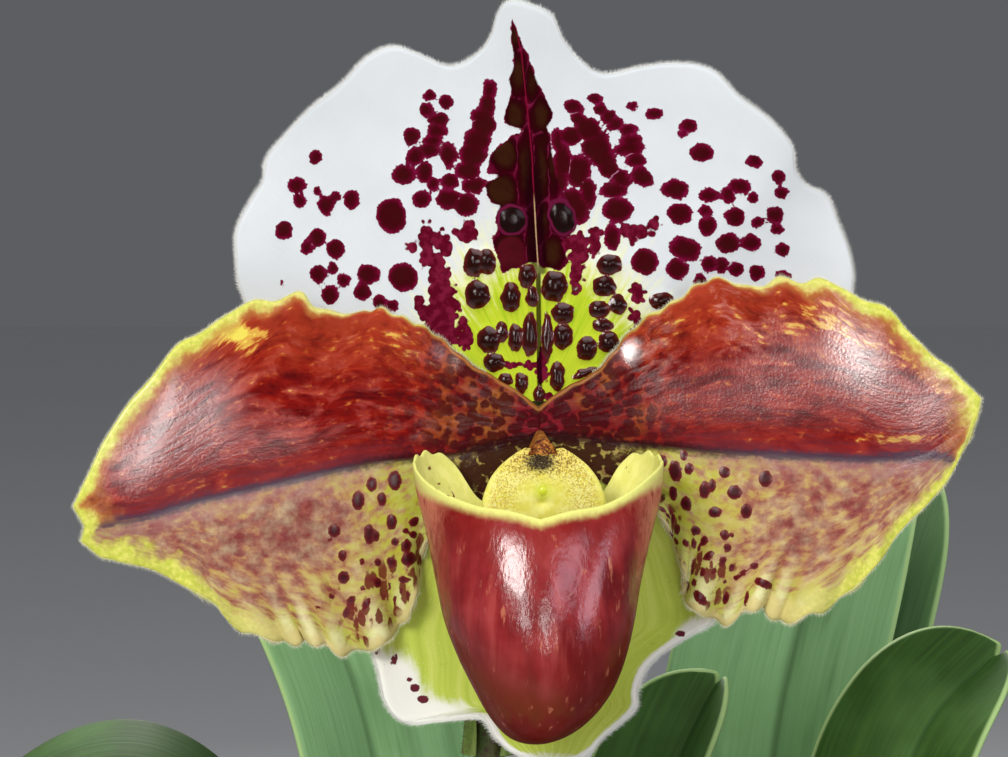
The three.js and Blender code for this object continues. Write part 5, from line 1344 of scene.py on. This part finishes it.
def leafPaint():
    paint = Paint("leaf_tissue")
    place = paint.place()
    way = paint.vectorField("way")
    s, along, edge, pale = paint.field("s"), paint.field("along"), paint.field("edge"), paint.field("pale")
    front = paint.field("face")
    veins = paint.grain(paint.stretched(way, 0.02, 1, 1), 1.6, 4, 0.6)
    broad = paint.grain(paint.stretched(way, 0.03, 0.16, 1), 1, 3)
    cloud = paint.grain(place, 55, 3)
    deep = paint.ramp(veins, (0.3, (30, 56, 6)), (0.5, (38, 68, 9)), (0.7, (48, 80, 15)))
    silver = paint.ramp(veins, (0.3, (126, 168, 114)), (0.5, (134, 176, 122)), (0.7, (142, 182, 130)))
    # each leaf's pale share: partly its own tone, partly painted light and shade
    colour = paint.mix(pale, deep, silver)
    colour = paint.mix(paint.ease(cloud, 0.45, 0.75) * 0.3, colour, (104, 148, 80))
    colour = paint.mix(paint.ease(broad, 0.5, 0.7) * 0.3, colour, (40, 80, 34))
    # a soft painted shade along the fold at the keel, a thin pale margin and a pale foot
    keelShade = paint.ease(s.maths("ABSOLUTE"), 0.09, 0.0)
    colour = paint.mix(keelShade * 0.5, colour, (30, 62, 22))
    colour = paint.mix(paint.ease(edge, 0.85, 0.25) * 0.75, colour, (168, 196, 128))
    colour = paint.mix(paint.ease(along, 0.34, 0.1), colour, (150, 166, 88))
    foot = paint.ease(along, 0.26, 0.12) * paint.ease(paint.grain(place, 900, 2), 0.5, 0.68)
    colour = paint.mix(foot * 0.7, colour, (98, 46, 62))
    under = paint.mix(0.5, colour, (128, 164, 104))
    colour = paint.mix(front, under, colour)
    bumps = paint.bump(veins, 0.16, 0.55, paint.bump(paint.grain(place, 2200, 2), 0.03, 0.35))
    return paint.finish({
        "Base Color": colour, "Roughness": 0.5 + paint.ease(cloud, 0.4, 0.7) * 0.1, "Normal": bumps,
        "Specular IOR Level": 0.12,
    })


def sectionPoint(width, fold, curl):
    reach = np.abs(width)
    safe = np.where(np.abs(curl) < 1e-4, 1e-4, curl)
    across = (np.sin(fold + safe * reach) - np.sin(fold)) / safe
    rise = (np.cos(fold) - np.cos(fold + safe * reach)) / safe
    return np.sign(width) * across, rise


def makeLeaf(name, finish):
    crown, nest, azimuth, wide, fold, roll, pale, spine = leaves[name]
    x, y = crowns[crown][:2]
    footRadius = 6.3 + 2.3 * nest
    footHalf = min(footRadius * math.radians(80), 14)
    foot = leafForm["foot"]
    line = [[footRadius, foot], [footRadius, (foot + 112) / 2], [footRadius, 112]]
    path = curveThrough(line + [[radius, height] for height, radius in spine])
    t, across = shares(leafForm, leafForm["bend"])
    s = across * 2 - 1
    opened = ease(t, 0.26, 0.62)
    taper = np.sqrt(np.maximum(0.012, 1 - np.maximum(0, (t - 0.78) / 0.22) ** 2.4))
    half = mix(footHalf, wide, ease(t, 0.2, 0.62)) * taper
    curl = mix(1 / footRadius, -0.012, opened)
    sideways, rise = sectionPoint(s * half, math.radians(fold) * opened, curl)
    notch = 0.012 * np.exp(-(s / 0.35) ** 2) * ease(t, 0.9, 1)
    here = path(t - notch)
    ahead = path(np.minimum(t + 0.004, 1)) - path(np.maximum(t - 0.004, 0))
    tangent = ahead / np.linalg.norm(ahead, axis=-1, keepdims=True)
    angle = math.radians(azimuth)
    outward = np.array([math.cos(angle), math.sin(angle), 0])
    side = np.array([outward[1], -outward[0], 0])
    inward = -tangent[..., 1:2] * outward + tangent[..., 0:1] * np.array([0, 0, 1])
    twist = math.radians(roll) * ease(t, 0.35, 0.8)
    over = (sideways * np.cos(twist) + rise * np.sin(twist))[..., None]
    lift = (rise * np.cos(twist) - sideways * np.sin(twist))[..., None]
    middle = np.array([x, y, 0]) + outward * here[..., 0:1] + np.array([0, 0, 1]) * here[..., 1:2]
    middle = middle + side * over + inward * lift
    # a slow ripple of the free margins
    ripple = 0.35 * np.abs(s) ** 3 * np.sin(t * 26 + s * 1.3 + azimuth) * ease(t, 0.45, 0.7)
    middle += gridNormals(middle) * ripple[..., None]
    thick = mix(*leafForm["thick"], s * s) / 2
    fields = {"s": s, "along": t, "pale": pale + 0 * s,
              "way": np.stack([gridLength(middle, 0), s * half, 0 * s + azimuth], -1)}
    upper = 1 if np.mean(gridNormals(middle)[20:60] @ (-outward + np.array([0, 0, 1]))) > 0 else -1
    piece = makeSheet(name + "_blade", middle, thick, finish, upper, None, fields, None, 0.6)
    settle(piece, "leaf", name)


# Flower stem, ovary and bract.
stalk = {
    "stemRadius": 2.1, "ovaryRadii": [4.3, 4.0, 3.7, 3.4, 3.1, 2.7], "rib": 0.05, "rhizomeTop": 106.3,
    "ovaryPath": [(0, 3.1, 0), (0, 7, 0), (-1.2, 14, -6), (-4, 18, -22), (-6, 18.5, -36)],
    "stemPath": [(-12, 4, 125), (-11.5, -1, 165), (-10, -10, 205)],
    "stemTop": [(-8, 19, -62), (-6.9, 18.7, -47), (-6, 18.53, -36.3)],
    # hairs: spacing, length, radius, spread, shortest, seed
    "stemHairs": (0.62, 0.95, 0.045, 0.35, 0.45, 3),
    "ovaryHairs": (0.62, 0.7, 0.04, 0.35, 0.45, 4),
}


def stalkPaint(name, green, dull, speck):
    paint = Paint(name)
    place = paint.place()
    long = paint.grain(paint.stretched(place, 1, 1, 0.12), 700, 3)
    colour = paint.mix(paint.ease(long, 0.35, 0.65), green, dull)
    colour = paint.mix(paint.ease(paint.grain(place, 900, 3), 0.52, 0.66) * 0.75, colour, speck)
    bumps = paint.bump(long, 0.15, 0.5, paint.bump(paint.grain(place, 2600, 2), 0.05, 0.5))
    return paint.finish({"Base Color": colour, "Roughness": 0.6, "Normal": bumps})


def makeStalk(hairs, dark):
    ovaryLine = curveThrough(stalk["ovaryPath"])(np.linspace(0, 1, 70))
    girth = curveThrough(stalk["ovaryRadii"])

    def ribbed(t, angle):
        swell = np.sin(np.pi * t)
        return float(girth(t)) * (1 + stalk["rib"] * swell * (np.cos(3 * angle) + 0.35 * np.cos(6 * angle)))

    stemLine = np.concatenate([[(-12, 4, stalk["rhizomeTop"])], stalk["stemPath"],
                               fromBloom(np.array(stalk["stemTop"], float))])
    stemLine = curveThrough(stemLine)(np.linspace(0, 1, 130))

    def stemGirth(t, angle):
        return stalk["stemRadius"] * (1 + 0.03 * np.cos(5 * angle + 9 * t)) + 0 * angle
    stemFinish = stalkPaint("stem_skin", (70, 92, 40), (88, 84, 44), (74, 34, 44))
    ovaryFinish = stalkPaint("ovary_skin", (104, 122, 52), (122, 110, 62), (104, 50, 58))
    stem = makeTube("stem_skin", stemLine, stemGirth, 28, stemFinish)
    ovary = makeTube("ovary_skin", fromBloom(ovaryLine), ribbed, 54, ovaryFinish)
    for piece, key, slotName, node in ((stem, "stemHairs", "stem", "flower_stem"),
                                       (ovary, "ovaryHairs", "stem", "ovary")):
        roots = piece.copy()
        roots.data = piece.data.copy()
        scene.collection.objects.link(roots)
        rooms = np.ones(len(roots.data.vertices), np.float32)
        roots.data.attributes.new("hairy", "FLOAT", "POINT").data.foreach_set("value", rooms)
        settle(piece, slotName, node)
        settle(growHairs(node + "_hairs", roots, hairs, stalk[key], dark), slotName)


bract = {
    "rows": 60, "columns": 44, "half": 0.35, "radius": 3.35, "flare": 1.1, "wrap": (150, 25),
    "foot": (-7, 18.9, -46), "reach": (2.6, 1.6, 27), "hairy": 0.5,
}


def bractPaint():
    paint = Paint("bract_tissue")
    place = paint.place()
    long = paint.grain(paint.stretched(place, 1, 1, 0.08), 800, 3)
    colour = paint.mix(paint.ease(long, 0.35, 0.65), (112, 140, 58), (138, 158, 76))
    colour = paint.mix(paint.ease(paint.grain(place, 1000, 3), 0.56, 0.7) * 0.6, colour, (104, 52, 54))
    colour = paint.mix(paint.ease(paint.field("along"), 0.75, 1.0) * 0.6, colour, (120, 96, 52))
    bumps = paint.bump(long, 0.2, 0.6)
    return paint.finish({"Base Color": colour, "Roughness": 0.55, "Normal": bumps})


def makeBract(hairs, dark):
    t, across = shares(bract)
    s = across * 2 - 1
    (x, y, z), (dx, dy, dz) = bract["foot"], bract["reach"]
    radius = bract["radius"] + bract["flare"] * ease(t, 0.1, 0.9)
    angle = s * np.radians(mix(*bract["wrap"], t ** 1.6)) + np.pi / 2
    middle = np.stack([x + dx * t + radius * np.cos(angle), y + dy * t * t + radius * np.sin(angle),
                       z + dz * t], -1)
    half = np.full(t.shape, bract["half"])
    piece = makeSheet("bract_tissue", middle, half, bractPaint(), 1, None, {"along": t}, fromBloom, 0.3)
    hairy = {"hairy": bract["hairy"] + 0 * t}
    roots = makeSheet("bract_hairs", middle, half, dark, 1, None, hairy, fromBloom, 0.3)
    settle(piece, "bract", "bract")
    settle(growHairs("bract_hairs", roots, hairs, stalk["ovaryHairs"], dark), "bract")


# Pot, bark and rhizome.
pot = {
    "topRadius": 65, "baseRadius": 47, "height": 108, "wall": 4, "floor": 6, "band": 20, "bandStep": 3,
    "sides": 168, "drains": 4, "drainRadius": 5, "drainRing": 27,
}


def circle(radius, angle, height):
    return np.stack([radius * np.cos(angle), radius * np.sin(angle), 0 * angle + height], -1)


def bodyRadius(z):
    return mix(pot["baseRadius"], pot["topRadius"] - pot["bandStep"], z / pot["height"])


def clayPaint():
    paint = Paint("pot_clay")
    place = paint.place()
    height = paint.add("ShaderNodeSeparateXYZ", None, {"Vector": place}, output="Z")
    cloud = paint.grain(place, 16, 5, 0.6)
    sand = paint.grain(place, 900, 3)
    rings = paint.grain(paint.stretched(place, 0.06, 0.06, 1), 420, 3)
    colour = paint.ramp(cloud, (0.3, (160, 84, 52)), (0.5, (182, 102, 66)), (0.7, (196, 122, 86)))
    colour = paint.mix(paint.ease(sand, 0.58, 0.7) * 0.5, colour, (126, 66, 44))
    colour = paint.mix(paint.ease(sand, 0.42, 0.3) * 0.35, colour, (214, 160, 126))
    # lime bloom that creeps up from the base and down from the band, and a damp shade
    lime = paint.ease(height * 1000 + (cloud - 0.5) * 90, 26, 4) + \
        paint.ease((height * 1000 - 80).maths("ABSOLUTE") + (cloud - 0.5) * 60, 12, 1) * 0.7
    colour = paint.mix(lime.least(1) * paint.ease(paint.grain(place, 130, 4), 0.42, 0.62) * 0.6,
                       colour, (214, 196, 176))
    damp = paint.ease(paint.grain(place, 28, 4), 0.5, 0.66)
    colour = paint.mix(damp * 0.3, colour, (120, 66, 46))
    bumps = paint.bump(rings, 0.5, 0.35, paint.bump(sand, 0.12, 0.6))
    return paint.finish({"Base Color": colour, "Roughness": 0.86 - damp * 0.12, "Normal": bumps})


def makePot():
    height, band = pot["height"], pot["height"] - pot["band"]
    inner = bodyRadius(height - 2) - pot["wall"]

    def arc(cx, cz, radius, start, stop, count=5):
        angles = np.radians(np.linspace(start, stop, count))
        return [(cx + radius * math.cos(a), cz + radius * math.sin(a)) for a in angles]
    outside = arc(bodyRadius(0) - 1.5, 1.5, 1.5, -90, -4)
    outside += [(bodyRadius(z) + 0.12 * math.sin(z * 0.9), z) for z in np.linspace(5, band - 3.5, 44)]
    outside += [(bodyRadius(band - 2), band - 2), (bodyRadius(band) + 0.6, band - 0.9)]
    outside += arc(pot["topRadius"] - 2.2, band + 0.9, 0.9, -90, -8, 4)
    outside += [(mix(pot["topRadius"] - 1.3, pot["topRadius"], k), mix(band + 1.4, height - 2.2, k))
                for k in np.linspace(0, 1, 12)]
    outside += arc(pot["topRadius"] - 1.6, height - 1.6, 1.6, 15, 90, 6)
    lipInner = pot["topRadius"] - pot["bandStep"] - pot["wall"] + 0.8
    outside += arc(lipInner + 1.2, height - 1.2, 1.2, 90, 175, 5)
    inside = [(inner, height - 3)] + [(bodyRadius(z) - pot["wall"], z) for z in np.linspace(94, 9, 12)]
    inside += [(bodyRadius(6) - pot["wall"] - 1, 6.6), (bodyRadius(6) - pot["wall"] - 3, pot["floor"])]
    profile = outside + inside
    sides = pot["sides"]
    angle = 2 * np.pi * np.arange(sides) / sides
    rings = np.array([circle(r, angle, z) for r, z in profile])
    points = np.concatenate([rings.reshape(-1, 3), [(0, 0, 0)], [(0, 0, pot["floor"])]])
    body = makeMesh("pot_clay", points, ringFaces(len(rings), sides), clayPaint())
    drills = []
    for k in range(pot["drains"]):
        turn = 2 * math.pi * (k + 0.5) / pot["drains"]
        line = np.array([(pot["drainRing"] * math.cos(turn), pot["drainRing"] * math.sin(turn), z)
                         for z in (-2, pot["floor"] + 3)], float)
        drills.append(makeTube("drill", line, lambda t, a: pot["drainRadius"] + 0 * a, 40, clayPaint()))
    drill = joined("drill", drills)
    cut = body.modifiers.new("drains", "BOOLEAN")
    cut.operation, cut.object, cut.solver = "DIFFERENCE", drill, "EXACT"
    bpy.context.view_layer.update()
    mesh = bpy.data.meshes.new_from_object(body.evaluated_get(bpy.context.evaluated_depsgraph_get()))
    body.modifiers.remove(cut)
    bpy.data.objects.remove(drill)
    body.data = mesh
    mesh.name = "pot_clay"
    while len(mesh.materials) > 1:
        mesh.materials.pop()
    mesh.shade_smooth()
    mesh.set_sharp_from_angle(angle=math.radians(40))
    settle(body, "clay", "pot")


bark = {
    "top": 97, "rise": 3, "reach": 51, "chips": 48, "small": 150, "foot": 6.3, "seed": 11,
    "grid": 6, "gap": 0.3, "goldenTurn": 2.39996, "toneStep": 0.618,
    "leafNests": {0: 17.2, 1: 12.4, 2: 12.4},
}


def barkPaint():
    paint = Paint("bark_chips")
    place = paint.place()
    tone = paint.field("tone")
    way = paint.vectorField("fibre")
    fibre = paint.grain(paint.stretched(way, 0.12, 1, 1), 1.6, 4, 0.65)
    crust = paint.grain(place, 260, 4, 0.6)
    colour = paint.ramp(tone, (0, (70, 40, 24)), (0.35, (104, 62, 36)), (0.7, (136, 86, 50)),
                        (1, (92, 66, 46)))
    colour = paint.mix(paint.ease(fibre, 0.5, 0.7) * 0.55, colour, (164, 112, 68))
    colour = paint.mix(paint.ease(fibre, 0.45, 0.3) * 0.6, colour, (46, 26, 16))
    colour = paint.mix(paint.ease(crust, 0.56, 0.7) * 0.5, colour, (60, 36, 24))
    bumps = paint.bump(fibre, 0.8, 0.7, paint.bump(crust, 0.5, 0.6))
    return paint.finish({"Base Color": colour, "Roughness": 0.9, "Normal": bumps})


# A rounded, gnarled chip: a ball-and-box shape with layered sides.
def chipPoints(size, turns, centre, seed):
    count = bark["grid"]
    points, faces = [], []
    for axis in range(3):
        for sign in (-1, 1):
            start = len(points)
            for i in range(count + 1):
                for j in range(count + 1):
                    point = [0.0, 0.0, 0.0]
                    point[axis] = sign
                    point[(axis + 1) % 3] = 2 * i / count - 1
                    point[(axis + 2) % 3] = 2 * j / count - 1
                    points.append(point)
            for i in range(count):
                for j in range(count):
                    a = start + i * (count + 1) + j
                    quad = [a, a + count + 1, a + count + 2, a + 1]
                    faces.append(quad if sign > 0 else quad[::-1])
    cube = np.array(points)
    smooth = cube / (np.sum(np.abs(cube) ** 5, axis=1, keepdims=True) ** 0.2)
    shape = smooth * np.array(size) / 2
    for k, point in enumerate(shape):
        wobble = noise.noise_vector(Vector(point * 0.28) + Vector((seed * 7.3, seed * 1.7, 0)))
        layer = 0.35 * math.sin(point[2] * 3.2 + seed)
        shape[k] = point + np.array(wobble) * 0.9 + smooth[k] * (layer, layer, 0)
    rx, ry, rz = turns
    for turn, (p, q) in ((rx, (1, 2)), (ry, (2, 0)), (rz, (0, 1))):
        c, s = math.cos(turn), math.sin(turn)
        first, second = shape[:, p].copy(), shape[:, q].copy()
        shape[:, p], shape[:, q] = first * c - second * s, first * s + second * c
    fibre = smooth * np.array(size) / 2 + seed * 3.1
    return shape + np.array(centre), faces, fibre


def makeBark():
    state = bark["seed"]
    noise.seed_set(state)  # without it the chips' noise starts from the clock

    def draw():
        nonlocal state
        factor, step, span = 1664525, 1013904223, 4294967296
        state = (state * factor + step) % span
        return state / span

    def between(low, high):
        return low + (high - low) * draw()
    points, faces, tones, fibres = [], [], [], []

    def put(shape, quads, fibre, tone):
        reach = np.hypot(shape[:, 0], shape[:, 1])
        most = bodyRadius(shape[:, 2]) - pot["wall"] - 0.5
        shape[:, :2] *= np.minimum(1, most / np.maximum(reach, 1e-6))[:, None]
        start = sum(len(p) for p in points)
        points.append(shape)
        fibres.append(fibre)
        tones.append(np.full(len(shape), tone))
        faces.extend([[start + v for v in quad] for quad in quads])

    # the mound under the chips, dipping round each growth
    rings, sides = 46, 96
    angle = 2 * np.pi * np.arange(sides) / sides
    radii = np.linspace(0, 1, rings + 1)[1:] * (bodyRadius(bark["top"]) - pot["wall"] - bark["gap"])
    mound = []
    for r in radii:
        x, y = r * np.cos(angle), r * np.sin(angle)
        z = bark["top"] - 1.5 + bark["rise"] * (1 - r / radii[-1])
        for cx, cy, bore in crowns:
            z = z - 6.5 * (1 - ease(np.hypot(x - cx, y - cy), bore - 3, bore + 1.5))
        z = z + np.array([1.1 * noise.noise(Vector((a * 0.25, b * 0.25, 3.3))) for a, b in zip(x, y)])
        mound.append(np.stack([x, y, z], -1))
    sink = np.array([[0, 0, bark["foot"]]])
    foot = circle(bodyRadius(bark["foot"]) - pot["wall"] - bark["gap"], angle, bark["foot"])
    layers = np.array(mound + [foot])
    shape = np.concatenate([layers.reshape(-1, 3), [(0, 0, bark["top"] + bark["rise"] - 1.5)], sink])
    put(shape, ringFaces(len(layers), sides, True), shape.copy(), 0.1)

    def clearOf(x, y, margin):
        return all(math.hypot(x - cx, y - cy) > bark["leafNests"][k] + margin
                   for k, (cx, cy, bore) in enumerate(crowns))
    for k in range(bark["chips"]):
        turn, radius = k * bark["goldenTurn"], bark["reach"] * math.sqrt((k + 0.5) / bark["chips"])
        size = [between(10, 17), between(6, 10), between(4, 6)]
        turns = [between(-0.35, 0.35), between(-0.3, 0.3), draw() * 2 * math.pi]
        x, y = radius * math.cos(turn), radius * math.sin(turn)
        height = bark["top"] + bark["rise"] * (1 - radius / bark["reach"])
        if clearOf(x, y, 3.5):
            shape, quads, fibre = chipPoints(size, turns, (x, y, height), k)
            put(shape, quads, fibre, (k * bark["toneStep"]) % 1)
    for k in range(bark["small"]):
        turn, radius = between(0, 2 * math.pi), 55 * math.sqrt(draw())
        size = [between(4, 8), between(3, 5), between(2, 3.4)]
        turns = [between(-0.6, 0.6), between(-0.6, 0.6), draw() * 2 * math.pi]
        x, y = radius * math.cos(turn), radius * math.sin(turn)
        height = bark["top"] + 0.6 + bark["rise"] * (1 - radius / bark["reach"])
        if not clearOf(x, y, 3.5):
            height -= 4.5
        if clearOf(x, y, 0.5):
            shape, quads, fibre = chipPoints(size, turns, (x, y, height), k + 60)
            put(shape, quads, fibre, (k * bark["toneStep"] + 0.3) % 1)
    fields = {"tone": np.concatenate(tones), "fibre": np.concatenate(fibres)}
    chips = makeMesh("bark_chips", np.concatenate(points), faces, barkPaint(), fields)
    settle(chips, "bark", "potting_bark")


def dressRhizome():
    paint = Paint("rhizome_skin")
    place = paint.place()
    long = paint.grain(paint.stretched(place, 1, 1, 0.2), 500, 4)
    colour = paint.ramp(long, (0.3, (92, 74, 40)), (0.5, (128, 112, 60)), (0.7, (150, 150, 84)))
    colour = paint.mix(paint.ease(paint.grain(place, 300, 3), 0.55, 0.7) * 0.6, colour, (84, 54, 36))
    bumps = paint.bump(long, 0.4, 0.6)
    finish = paint.finish({"Base Color": colour, "Roughness": 0.7, "Normal": bumps})
    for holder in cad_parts["rhizome"].material_slots:
        holder.material = finish


def makeFloor():
    paint = Paint("floor_card")
    place = paint.place()
    away = paint.add("ShaderNodeVectorMath", {"operation": "LENGTH"}, {0: place}, output=1)
    # the floor is painted paler away from the plant: painted light that makes up for the lamps' light
    # falling off
    tone = paint.mix(paint.ease(away, 0.3, 2.4), (*studio["floorTone"], 1.0), (*studio["floorFarPaintedLight"], 1.0))
    tone = paint.mix(paint.grain(place, 3, 3) * 0.1, tone, (0.6, 0.6, 0.6, 1.0))
    finish = paint.finish({"Base Color": tone, "Roughness": 0.8, "Specular IOR Level": 0.1})
    reach = studio["floorSize"] / 2
    corners = np.array([(-1, -1, 0), (1, -1, 0), (1, 1, 0), (-1, 1, 0)]) * reach
    floor = makeMesh("floor", corners, [[0, 1, 2, 3]], finish)


# The hairs along the flower's margins and on the shield.
hairSizes = {
    # name: spacing, length, radius, spread, shortest, seed
    "petal": (0.085, 0.75, 0.02, 0.42, 0.4, 7),
    "margin": (0.075, 0.85, 0.03, 0.42, 0.4, 7),
    "tuft": (0.15, 0.5, 0.024, 0.7, 0.4, 5),
    "plush": (0.19, 0.26, 0.04, 0.5, 0.5, 6),
}

setStudio()
makeFloor()
marginTree, faceTree = hairTree(False), hairTree(True)
hairTones = {
    "white_hairs": (244, 244, 238), "pale_hairs": (238, 236, 206), "dark_hairs": (74, 34, 46),
    "purple_hairs": (46, 18, 22), "gold_hairs": (244, 232, 170),
}
whiteHairs, paleHairs, darkHairs, purpleHairs, goldHairs = (
    hairFinish(name, tone) for name, tone in hairTones.items())
petalFinish = petalPaint()
fringes = [("dorsal_sepal_hairs", makeDorsal(), "dorsal_sepal", whiteHairs),
           ("synsepal_hairs", makeSynsepal(), "synsepal", whiteHairs),
           ("petal_left_hairs", makePetal("petal_left", petalFinish), "petal", paleHairs),
           ("petal_right_hairs", makePetal("petal_right", petalFinish), "petal", paleHairs)]
for name, roots, slotName, finish in fringes:
    sizes = hairSizes["petal" if slotName == "petal" else "margin"]
    settle(growHairs(name, roots, marginTree, sizes, finish), slotName)
makePouch()
tuft, plush = makeColumn()
settle(growHairs("column_tuft", tuft, faceTree, hairSizes["tuft"], purpleHairs), "column")
settle(growHairs("column_plush", plush, faceTree, hairSizes["plush"], goldHairs), "column")
leafFinish = leafPaint()
for name in leaves:
    makeLeaf(name, leafFinish)
makeStalk(faceTree, darkHairs)
makeBract(faceTree, darkHairs)
makePot()
makeBark()
dressRhizome()
